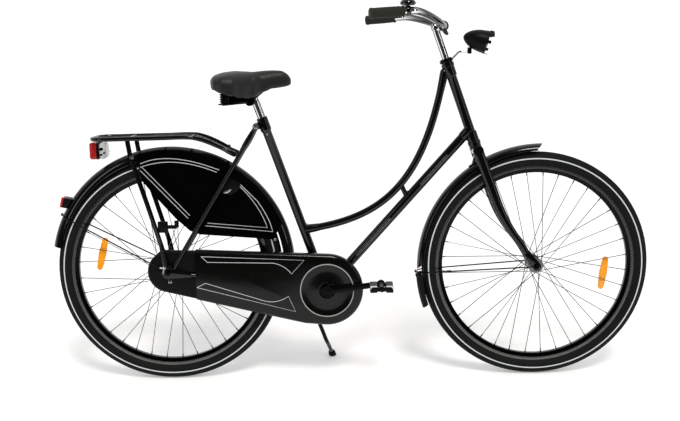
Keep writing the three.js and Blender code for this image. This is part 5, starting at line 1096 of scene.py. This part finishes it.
finish_piece([carrier_bolt(*place, side) for place in ((-95.5, 722, 67.7), (190.5, 741, 57.5)) for side in (-1, 1)],
             "carrier_bolts", "frame", steel)

# %% [markdown]
# The rear light has a red lens at the back and a clear housing ahead of it. Both are boxes with large
# bevels, and small dark fittings show on the sides of the housing.

# %% Rear light
red_part = painted(rounded_block((-236, -30, 713), (-212.3, 30, 765.7), 7), red_lens)
band = painted(rounded_block((-213.5, -30, 713), (-207, 30, 765.7), 2.5), cap_finish)
dress([red_part, band], "rear_light_lens", "frame")
clear_part = painted(rounded_block((-207, -29, 714), (-184, 29, 764.5), 10), clear_lens)
fittings = [painted(plate(belt([(x, z, size), (x + 4, z + 1, size)], 24), side * 28.6, side * 29.3, 0.2), dark_steel)
            for x, z, size in ((-200, 745, 4.5), (-201, 727, 3.0), (-191, 733, 2.2)) for side in (-1, 1)]
dress([clear_part, *fittings], "rear_light_housing", "frame")

# %% [markdown]
# ## Fork
# The blades are oval and taper to the dropouts. Each one is a round tapering tube pressed
# flat to six tenths and set out to its side, as the real blades are pressed from round tube.

# %% Fork blades, crown and steerer
blade_path = [(972.6, 723), (1011.5, 616), (1043, 533), (1062, 496), (1084, 461), (1110, 425), (1124, 402)]
blade_top, blade_foot = blade_path[0][1], blade_path[-1][1]
fork_parts = []
for side in (-1, 1):
    blade = bent([(x, 0, z) for x, z in blade_path], [17 - 7.5 * i / 6 for i in range(7)], around=7)
    for vertex in blade.data.vertices:
        share = (blade_top - vertex.co.z) / (blade_top - blade_foot)
        vertex.co.y = vertex.co.y * (0.588 + 0.044 * share) + side * (41 + 11 * share)
    tip = plate(belt([(1124, 402, 9.5), (wheelbase, axle_height, 14)], 56), side * 49, side * 54, 0.9)
    fork_parts += [blade, tip]
crown_centre = on_head(-22)
crown = turned(ring(0, 17, -51, 51, 2.5), crown_centre, steps=40)
steerer = turned([(11.4, -22), (17, -22), (19, -20), (19, -4.3), (12.7, -4.3), (12.7, 262.3), (18, 262.3), (18, 277.3),
                  (17, 278.3), (11.4, 278.3)], on_head(0), head_up)
tab_corners = polar_corners(front_guard_centre, (392.1, 125.3), (395.1, 125.3), (395.1, 120.7), (392.1, 120.7))
tab_middle = [(a + b) / 2 for a, b in zip(tab_corners[0], tab_corners[2])]
tab = plate(tab_corners, -9, 9, 0.7)
tab_arm = plate(strip([tab_middle, (crown_centre.x, crown_centre.z)], 6), -9, 9, 0.7)
dress([*fork_parts, crown, steerer, tab, tab_arm], "fork", "steering", paint)
locknut = turned([(12.8, 262.3), (17.6, 262.3), (18, 263), (18, 269), (17.4, 269.8), (12.8, 269.8)], on_head(0),
                 head_up, 8)
finish_piece(locknut, "headset_locknut", "steering", dark_steel, smooth=20)

# %% [markdown]
# ## Stem, handlebar, grips and bell
# The stem is a chromed quill with a forged clamp. The bar is one tube swept back on both sides,
# drawn from the left grip over the clamp to the right grip.

# %% Stem
bar_centre = Vector((867.5, 0, 1106))
quill = rod(on_head(166), on_head(378), 11.1, 8)
quill_top = stepped([on_head(374), on_head(384), on_head(387)], [12.6, 12.6, 10.5], 8)
neck = bent([on_head(373), on_head(378).lerp(bar_centre, 0.5), bar_centre], [11.8, 12.6, 14], around=8)
clamp = turned(ring(11.8, 17, -19, 19, 1), bar_centre)
ear = plate(belt([(bar_centre.x + 4, bar_centre.z - 12, 8), (bar_centre.x + 12, bar_centre.z - 24, 5)], 32), -8, 8, 1)
clamp_bolt = rod(bar_centre + Vector((13, -12, -23)), bar_centre + Vector((13, 12, -23)), 4, 3)
expander = turned([(0, 386.5), (7, 386.5), (7, 391), (5.5, 392.5), (0, 392.5)], on_head(0), head_up, 6)
dress([quill, quill_top, neck, clamp, ear, clamp_bolt, expander], "stem", "stem", chrome)

# %% Handlebar and grips
sweep, drop = radians(15.3), radians(3.3)


def grip_line(side):
    start = bar_centre + Vector((-133, side * 253, 36.3))
    way = Vector((-cos(sweep), side * sin(sweep), -tan(drop))).normalized()
    return start, way


def bar_half(side):
    start, way = grip_line(side)
    straight_end = start - way * 24
    root = bar_centre + Vector((0, side * 25.3, 0))
    points = pull_curve(root, root + Vector((0, side * 36, 0)), straight_end - way * 40, straight_end, 16)
    return points + [start, start + way * 99]


bar_points = bar_half(-1)[::-1] + [bar_centre] + bar_half(1)
dress(bent(bar_points, 11.1, around=8, finer=3), "handlebar", "handlebar", chrome)
grip_ribs = 26
grip_profile = [(11.6, 0.3), (14.6, 0.3), (15.5, 1.5), (15.5, 5), (14.0, 7.5), (13.9, 10)]
for i in range(grip_ribs):
    along, belly = 11 + i * 3.1, 0.5 * sin(pi * i / (grip_ribs - 1))
    grip_profile += [(14.7 + belly, along), (14.2 + belly, along + 1.9)]
grip_profile += [(15.3, 92), (15.5, 96), (15.2, 99.5), (13.4, 101.6), (0, 102), (0, 99.5), (11.6, 99.5)]
for side, name in both_sides:
    dress(turned(grip_profile, *grip_line(side), ahead=upward), f"grip_{name}", "handlebar", grip_rubber, smooth=32)

# %% [markdown]
# The bell clamps on the bar just ahead of the right grip: a strap, a base, a dome with a small cap
# and a thumb lever on its own pin.

# %% Bell and its lever


def dome_arc(radius, base, height, angles):
    return [(radius * cos(radians(a)), base + height * sin(radians(a))) for a in angles]


start, way = grip_line(-1)
bell_root = start - way * 12
bell_base = bell_root + Vector((0, 0, 17))
strap = turned(ring(12.9, 15, -6, 6, 0.6, 1), bell_root, way, ahead=upward)
post = turned(ring(0, 4, 13, 34), bell_root, upward, 24)
dome = turned([(23.0, 1.5), (23.3, 2.4), *dome_arc(23, 2.0, 17, range(8, 84, 8)), (3.2, 19.0), (3.0, 20.4), (0, 20.6),
               (0, 17.0), *dome_arc(21.4, 1.4, 15.6, range(80, 0, -10)), (21.4, 1.5)], bell_base, upward, 64)
base = turned([(0, -1.5), (19.5, -1.5), (20, -1), (20, 0), (0, 0)], bell_base, upward)
pin_place = bell_root + Vector((0, 15, 0))
pin = turned(ring(0, 2, 10.5, 16.5), pin_place, upward, 20)
dress([strap, post, dome, base, pin], "bell", "handlebar", black_chrome)
lever_top, lever_thick = bell_base.z - 1.8, 2.5
lever_outline = belt([(pin_place.x - 26, pin_place.y + 13, 4), (pin_place.x, pin_place.y, 4.4)], 40)
lever = outline([(x, y, lever_top - lever_thick) for x, y in lever_outline])
edit(lever)
bpy.ops.mesh.edge_face_add()
bpy.ops.mesh.extrude_region_move(TRANSFORM_OT_translate={"value": (0, 0, lever_thick)})
clean(lever)
soften(lever, 0.6)
cut(lever, turned(ring(0, 2.3, lever_top - 6, lever_top + 3), (pin_place.x, pin_place.y, 0), upward, 24))
dress(lever, "bell_lever", "bell_lever", chrome)

# %% [markdown]
# ## Headlamp
# The lamp is a bullet of black plastic with a hood over its glass, hung on a chromed wire from the
# headset. It tilts on the pin through the wire's eye.

# %% Lamp bracket, shell and glass
lamp_way = turn_to(-radians(15.2))
lamp_pivot = Vector((950, 0, 1026))
lamp_tail = Vector((1001.9, 0, 1054.5)) - lamp_way * 72


def lamp_part(profile, steps=64, arc=360, start=0):
    return turned(profile, lamp_tail, lamp_way, steps, arc, start, upward)


clamp_ring = turned(ring(18.6, 21.5, 265.8, 274.8, 0.5, 0.8), on_head(0), head_up)
wire = bent([on_head(270.3) + Vector((19.5, 0, 7)), (908, 0, 1017), (919, 0, 1026), (936, 0, 1028),
             (948, 0, 1026.6)], 3.5)
eye = turned(ring(2.8, 6, -4, 4, 0.4), lamp_pivot, steps=32)
dress([wire, eye], "lamp_bracket", "steering", chrome)
finish_piece(clamp_ring, "lamp_bracket_ring", "steering", dark_steel)

shell = lamp_part([
    (0, -1.5), (4.5, -0.6), (9, 1.8), (13.5, 5.5), (18, 10.5), (22.5, 17), (26.5, 24.5), (29.8, 33), (32.4, 43),
    (34.2, 54), (35, 64), (35, 70), (35.6, 71), (35.6, 73), (33.2, 73), (33.2, 62), (31, 46), (27.5, 33), (22, 22),
    (14, 11), (7, 5), (0, 3)])
hood = lamp_part([(34, 66), (35.9, 66), (35.9, 86), (35.2, 88.5), (34, 87)], 28, 112, -56)
tabs = [lamp_part([(34, 66), (35.8, 66), (35.8, end), (34, end - 0.6)], 6, 16, angle - 8)
        for angle, end in ((88, 82), (-88, 82), (128, 80), (-128, 80), (180, 84))]
peak = lamp_part([(35.2, 74), (38.6, 76), (38.6, 88), (35.2, 86)], 8, 34, -17)
ears = [plate(box(950, 1030.5, 6, 9.5), side * 4.3, side * 6.8, 0.7) for side in (-1, 1)]
pin = rod((950, -8.4, 1026), (950, 8.4, 1026), 2.5, 3)
dress([shell, hood, *tabs, peak, *ears, pin], "lamp_shell", "headlamp", cap_finish, smooth=30)
glass = lamp_part([(0, 68), (32.9, 68), (32.9, 72), (31.5, 73.6), (22, 75.4), (11, 76.6), (0, 77)], 48)
rim_ring = lamp_part([(33, 70.5), (35.6, 70.5), (35.6, 73), (33.8, 74), (33, 73)])
finish_piece([painted(glass, lamp_glass), painted(rim_ring, chrome)], "lamp_glass_dressed", "headlamp",
             stands_for=["lamp_lens"])

# %% [markdown]
# ## Seat post and saddle
# The post is a plain chromed tube with a narrower neck for the saddle clamp. Under the saddle run two
# rails and, at the back, two springs wound from one wire each.

# %% Seat post, clamp, rails and springs
clamp_centre = Vector((267.7, 0, 886))
post = rod(on_seat(498), on_seat(622), 12.7, 8)
neck = bent([on_seat(616), on_seat(626), on_seat(640), clamp_centre + Vector((2, 0, -3))], [12.7, 11.6, 10.2, 10],
            around=8)
post_eye = turned(ring(4.6, 10, -13.5, 13.5, 0.6), clamp_centre, steps=40)
dress([post, neck, post_eye], "seat_post", "seat_post", chrome)

rail = [(366, 10, 944), (345, 13, 937), (320, 17, 925), (295, 18.5, 905), (268, 19, 886), (225, 30, 880),
        (186, 45, 877)]
saddle_parts = [rod(clamp_centre - Vector((0, 25.8, 0)), clamp_centre + Vector((0, 25.8, 0)), 4, 4)]
for side in (-1, 1):
    saddle_parts += [
        turned(ring(4, 15, 13.8, 21.8, 1.4, 1.2), clamp_centre, (0, side, 0), 40),
        turned([(0, 21.6), (6.5, 21.6), (6.5, 25), (5.6, 26), (0, 26)], clamp_centre, (0, side, 0), 6),
        bent([(x, side * y, z) for x, y, z in rail], 3.5, around=4),
        plate([(202, 879), (262, 883), (264, 894), (238, 899), (206, 903)], side * 30, side * 34.5, 1.2)]
saddle_parts.append(rounded_block((174.5, -60, 876.7), (211.5, 60, 880.7), 1.6, 2))
dress(saddle_parts, "saddle_frame", "saddle", dark_steel)

spring_x, spring_y, spring_foot, spring_height = 193, 45, 883.3, 32.4
spring_curls, spring_radius, spring_wire = 4.5, 12.7, 4.6
points_per_curl = 12
for side, name in both_sides:
    coil = []
    for i in range(int(spring_curls * points_per_curl) + 1):
        turn = 2 * pi * i / points_per_curl
        coil.append((spring_x + spring_radius * cos(turn), side * (spring_y + spring_radius * sin(turn)),
                     spring_foot + spring_height * i / (spring_curls * points_per_curl)))
    spring = bent(coil, spring_wire / 2, around=3, finer=3)
    sleeve = turned([(0, 881), (10.2, 881), (10.6, 884), (10.6, 918), (0, 918)], (spring_x, side * spring_y, 0),
                    upward, 32)
    dress([spring, sleeve], f"saddle_spring_{name}", "saddle", dark_steel)

# %% [markdown]
# The saddle cover is padded: foam under a grained skin. Its form is lofted through cross sections
# from the broad tail to the nose. Then it is remeshed and swollen a little as cloth, which rounds the
# sections the way a filled cover is round. A cap on the motion keeps it in the space that the packed
# saddle holds.

# %% Saddle cover, lofted
saddle_rows = [
    (146, 34, 950, 938, 941), (151, 62, 961, 929, 936), (163, 88, 970, 921, 930), (190, 104, 976, 911, 923),
    (221, 100, 978, 901, 922), (250, 80, 976, 894, 924), (281, 56, 974, 899, 928), (310, 38, 977, 915, 932),
    (341, 30, 980, 926, 936), (368, 27, 980, 930, 938), (388, 22, 969, 932, 939), (398, 13, 953, 936, 940),
]
nose_filled_from = 262
drawn_inside = 1.0


def row_at(x):
    for (x0, *a), (x1, *b) in zip(saddle_rows, saddle_rows[1:]):
        if x <= x1:
            t = (x - x0) / (x1 - x0)
            t = t * t * (3 - 2 * t) if x0 > 160 and x1 < 370 else t
            return [p + (q - p) * t for p, q in zip(a, b)]
    return list(saddle_rows[-1][1:])


def saddle_section(x, grow):
    half, top, skirt, under = row_at(x)
    half, top, skirt = half - grow, top - grow, skirt - 3 * grow
    under = skirt + 2 if x > nose_filled_from else under
    points = []
    for i in range(33):
        turn = pi * i / 32
        drawn_in = 1 - 0.1 * (1 - sin(turn)) ** 2
        y = half * copysign(abs(cos(turn)) ** 0.8, cos(turn)) * drawn_in
        points.append((x, y, skirt + (top - skirt) * sin(turn) ** 0.6))
    points += [(x, share * half, under) for share in (-0.72, -0.36, 0, 0.36, 0.72)]
    return points


rings = [saddle_section(146.5 + 250.5 * i / 44, drawn_inside) for i in range(45)]
only()
per_ring = len(rings[0])
bpy.ops.mesh.primitive_grid_add(x_subdivisions=per_ring, y_subdivisions=len(rings) - 1, size=1)
cover = bpy.context.active_object
for i, vertex in enumerate(cover.data.vertices):
    ring_index, point_index = divmod(i, per_ring + 1)
    vertex.co = rings[ring_index][point_index % per_ring]
clean(cover, close_ends=True)
print("saddle cover lofted:", len(cover.data.vertices), "points")

# %% Saddle cover, swollen as cloth
swell_limit = 3.2 * mm
swell_frames = 20


def swell(piece):
    apply(piece, "REMESH", mode="VOXEL", voxel_size=4.5)
    piece.data.transform(Matrix.Scale(mm, 4))
    before = [vertex.co.copy() for vertex in piece.data.vertices]
    cloth = piece.modifiers.new("Cloth", "CLOTH")
    cloth.settings.use_pressure = True
    cloth.settings.uniform_pressure_force = 4
    cloth.settings.effector_weights.gravity = 0
    cloth.settings.tension_stiffness = cloth.settings.compression_stiffness = 25
    cloth.settings.bending_stiffness = 4
    cloth.point_cache.frame_start, cloth.point_cache.frame_end = 1, swell_frames
    scene = bpy.context.scene
    for frame_number in range(1, swell_frames + 1):
        scene.frame_set(frame_number)
    only(piece)
    bpy.ops.object.modifier_apply(modifier=cloth.name)
    scene.frame_set(1)
    for vertex, place in zip(piece.data.vertices, before):
        move = vertex.co - place
        if move.length > swell_limit:
            vertex.co = place + move.normalized() * swell_limit
    piece.data.transform(Matrix.Scale(1 / mm, 4))
    return apply(piece, "SMOOTH", factor=0.5, iterations=6)


swell(cover)
apply(cover, "SUBSURF", levels=1, render_levels=1)
dress(cover, "saddle_cover", "saddle", skin, smooth=80)

# %% [markdown]
# ## Stand
# A side stand swings on a pin under the chain stays. The leg is a bent rod, with a rubber foot cut flat
# where it meets the ground.

# %% Stand block, leg and foot
stand_pivot = Vector((432, 44, 251))
stand_axis = Vector((0, cos(radians(10)), sin(radians(10))))
foot_end = Vector((507.5, 165, 165 * tan(lean_angle)))
knee = Vector((496.2, 100, 69.8))
shin = (foot_end - knee).normalized()
block = rounded_block((414, -25, 240), (450, 31, 291), 2.5, 3)
upper_plate = rounded_block((414, -23, 309.5), (450, 23, 314.5), 1.2, 2)
bolt = rod((432, 0, 238), (432, 0, 319), 5, 4)
bolt_head = turned([(0, 314), (9, 314), (9, 319.5), (8, 320.5), (0, 320.5)], (432, 0, 0), upward, 6)
pin = rod(stand_pivot - stand_axis * 20, stand_pivot + stand_axis * 10.5, 5, 4)
pin_head = turned([(0, 8.3), (9, 8.3), (9, 11.4), (7.5, 12.3), (0, 12.3)], stand_pivot, stand_axis, 32)
finish_piece([block, upper_plate, bolt, bolt_head, pin, pin_head], "stand_block_dressed", "frame", dark_steel,
             stands_for=["kickstand_bracket"])
leg = bent([stand_pivot, (462.2, 57, 170.4), (477.3, 61, 130.4), (487.3, 68.5, 100), knee, foot_end - shin * 13.5],
           [6.5] * 5 + [6.3], finer=10)
barrel = turned(ring(5.3, 11, -8, 8, 1), stand_pivot, stand_axis, 40)
finish_piece([leg, barrel], "stand_leg_dressed", "kickstand", dark_steel, stands_for=["kickstand_leg"])
foot = stepped([foot_end + shin * reach for reach in (-27, -25, -14, 25)], [8.6, 10.8, 12.2, 12.5], 7)
floor_cut = rounded_block((foot_end.x - 100, foot_end.y - 100, -60), (foot_end.x + 100, foot_end.y + 100, 0), 0.01, 1)
floor_cut.data.transform(Matrix.Translation((0, foot_end.y, foot_end.z)) @ Matrix.Rotation(lean_angle, 4, "X")
                         @ Matrix.Translation((0, -foot_end.y, 0)))
cut(foot, floor_cut)
finish_piece(foot, "stand_foot_dressed", "kickstand", rubber, stands_for=["kickstand_foot"], smooth=30)

# %% [markdown]
# ## Small fittings
# A few fittings show in the side view: a cable clip on the carrier leg, the bolts that hold the
# coat guard, and the frame lock behind the slot with its knob.

# %% Clip, coat guard bolts and lock
clip_parts = [rounded_block((-26, -63.5, 484), (6, -56, 520), 3, 3), rounded_block((0, -62, 496), (34, -57, 508), 2, 2),
              rounded_block((26, -62, 500), (40, -57, 522), 2, 2)]
finish_piece(clip_parts, "cable_clip", "frame", cap_finish)
bolts = [turned([(0, 31.0), (4.6, 31.0), (4.6, 32.6), (3, 34), (0, 34.2)], (336, 0, 452), (0, side, 0), 24)
         for side in (-1, 1)]
bolts += [turned([(0, 13.8), (3.2, 13.8), (3.2, 15.6), (2, 16.6), (0, 16.8)], (x, 0, z), to_right, 20)
          for x, z in ((319.5, 782), (437.3, 497))]
finish_piece(bolts, "coat_guard_bolts", "frame", steel)
lock_corners = [(194, 668), (250, 634), (233, 602), (201, 584), (162, 602)]
finish_piece([plate(lock_corners, side * 24.5, side * 28.6, 1.5) for side in (-1, 1)], "frame_lock_body", "frame",
             cap_finish)
knob = bent([(202, -28.6, 613), (195, -28.8, 608), (187, -28.8, 604.5), (180, -28.6, 604)], [2.5, 4.6, 5.2, 3],
            around=6)
finish_piece(knob, "frame_lock_knob", "frame", bright_zinc)

# %% [markdown]
# ## Floor, light and camera
# The bike stands in a white studio. The floor is pale and catches a faint shadow. The backdrop is the
# world's own white, seen by the camera and by reflections, while the light that falls on the
# bike comes from a softer world, one high broad light and a soft lamp on each side. Reflections see the white
# backdrop behind the bike and the darker room in front of it.

# %% Floor and white surroundings
floor_size, floor_before_bike = 120, 2.9
floor_glow = 0.27
world_light = 0.58
pure_white = (1, 1, 1, 1)

only()
bpy.ops.mesh.primitive_plane_add(size=1)
floor = bpy.context.active_object
edit(floor)
bpy.ops.mesh.subdivide(number_cuts=3)
object_mode()
floor.data.transform(Matrix.Translation((0, floor_size / 2 - floor_before_bike, 0)) @ Matrix.Scale(floor_size, 4))
floor.name = "studio_floor"
floor_finish = bpy.data.materials.new("white_floor")
floor_finish.use_nodes = True
tree = floor_finish.node_tree
rays = add_node(tree, "LightPath", {}).outputs
seen = combined(tree, "MAXIMUM", rays["Is Camera Ray"], rays["Is Glossy Ray"])
white = add_node(tree, "Emission", {"Color": pure_white, "Strength": combined(tree, "MULTIPLY", seen, floor_glow)})
shader = fill(tree, tree.nodes["Principled BSDF"], {"Base Color": (0.9, 0.9, 0.9, 1), "Roughness": 0.9,
                                                    "Specular IOR Level": 0.0})
both = add_node(tree, "AddShader", {0: shader.outputs["BSDF"], 1: white.outputs["Emission"]})
fill(tree, tree.nodes["Material Output"], {"Surface": both.outputs[0]})
painted(floor, floor_finish)

world = bpy.data.worlds.new("white_studio")
bpy.context.scene.world = world
world.use_nodes = True
tree = world.node_tree
rays = add_node(tree, "LightPath", {}).outputs
sky = add_node(tree, "TexCoord", {}).outputs["Generated"]
sky_y = add_node(tree, "SeparateXYZ", {"Vector": sky}).outputs["Y"]
direct = combined(tree, "MAXIMUM", rays["Is Camera Ray"], rays["Is Transmission Ray"])
in_mirror = combined(tree, "MULTIPLY", rays["Is Glossy Ray"], ramp(tree, sky_y, -0.35, 0.45, 0.04))
plain = combined(tree, "MULTIPLY", rays["Is Diffuse Ray"], world_light)
level = combined(tree, "MAXIMUM", combined(tree, "MAXIMUM", direct, in_mirror), plain)
fill(tree, tree.nodes["Background"], {"Color": pure_white, "Strength": level})


def soft_lamp(name, place, aim, size, power):
    bpy.ops.object.light_add(type="AREA", location=place)
    lamp = bpy.context.active_object
    lamp.name = name
    lamp.data.shape = "RECTANGLE"
    lamp.data.size, lamp.data.size_y = size
    lamp.data.energy = power
    lamp.rotation_euler = (Vector(aim) - Vector(place)).to_track_quat("-Z", "Y").to_euler()


soft_lamp("left_softbox", (-2.8, -2.4, 1.9), (0, 0, 0.6), (0.5, 2.2), 12)
soft_lamp("right_softbox", (2.9, -2.0, 1.7), (0, 0, 0.6), (0.4, 2.0), 10)
bpy.ops.object.light_add(type="SUN", location=(0.6, -2.0, 3.6))
key = bpy.context.active_object
key.name = "high_softbox"
key.data.energy = 1.45
key.data.color = (1.0, 0.96, 0.90)
key.data.angle = radians(16)
key.rotation_euler = Vector((-0.25, 1.0, -1.75)).to_track_quat("-Z", "Y").to_euler()

# %% [markdown]
# The camera stands where the photograph was taken from: about three metres away, at the height of the
# grips, looking slightly down, with a lens of about 54 mm.

# %% Camera
focal_pixels, photo_width = 1014.04, 680
yaw, pitch, roll = map(radians, (-0.546, -14.551, -1.009))
ahead = Vector((sin(yaw) * cos(pitch), cos(yaw) * cos(pitch), sin(pitch)))
right = Vector((cos(yaw), -sin(yaw), 0))
up = right.cross(ahead)
rolled_right = right * cos(roll) + up * sin(roll)
rolled_up = up * cos(roll) - right * sin(roll)
camera_place = Vector((0.57155, -3.0497, 1.340)) + shift
bpy.ops.object.camera_add(location=camera_place)
camera = bpy.context.active_object
turn = Matrix((rolled_right, rolled_up, -ahead)).transposed().to_4x4()
camera.matrix_world = Matrix.Translation(camera_place) @ turn
camera.data.sensor_width = 36
camera.data.lens = 36 * focal_pixels / photo_width
bpy.context.scene.camera = camera
bpy.context.scene.view_settings.view_transform = "Standard"
print("camera at", [round(v, 3) for v in camera_place], "lens", round(camera.data.lens, 2))
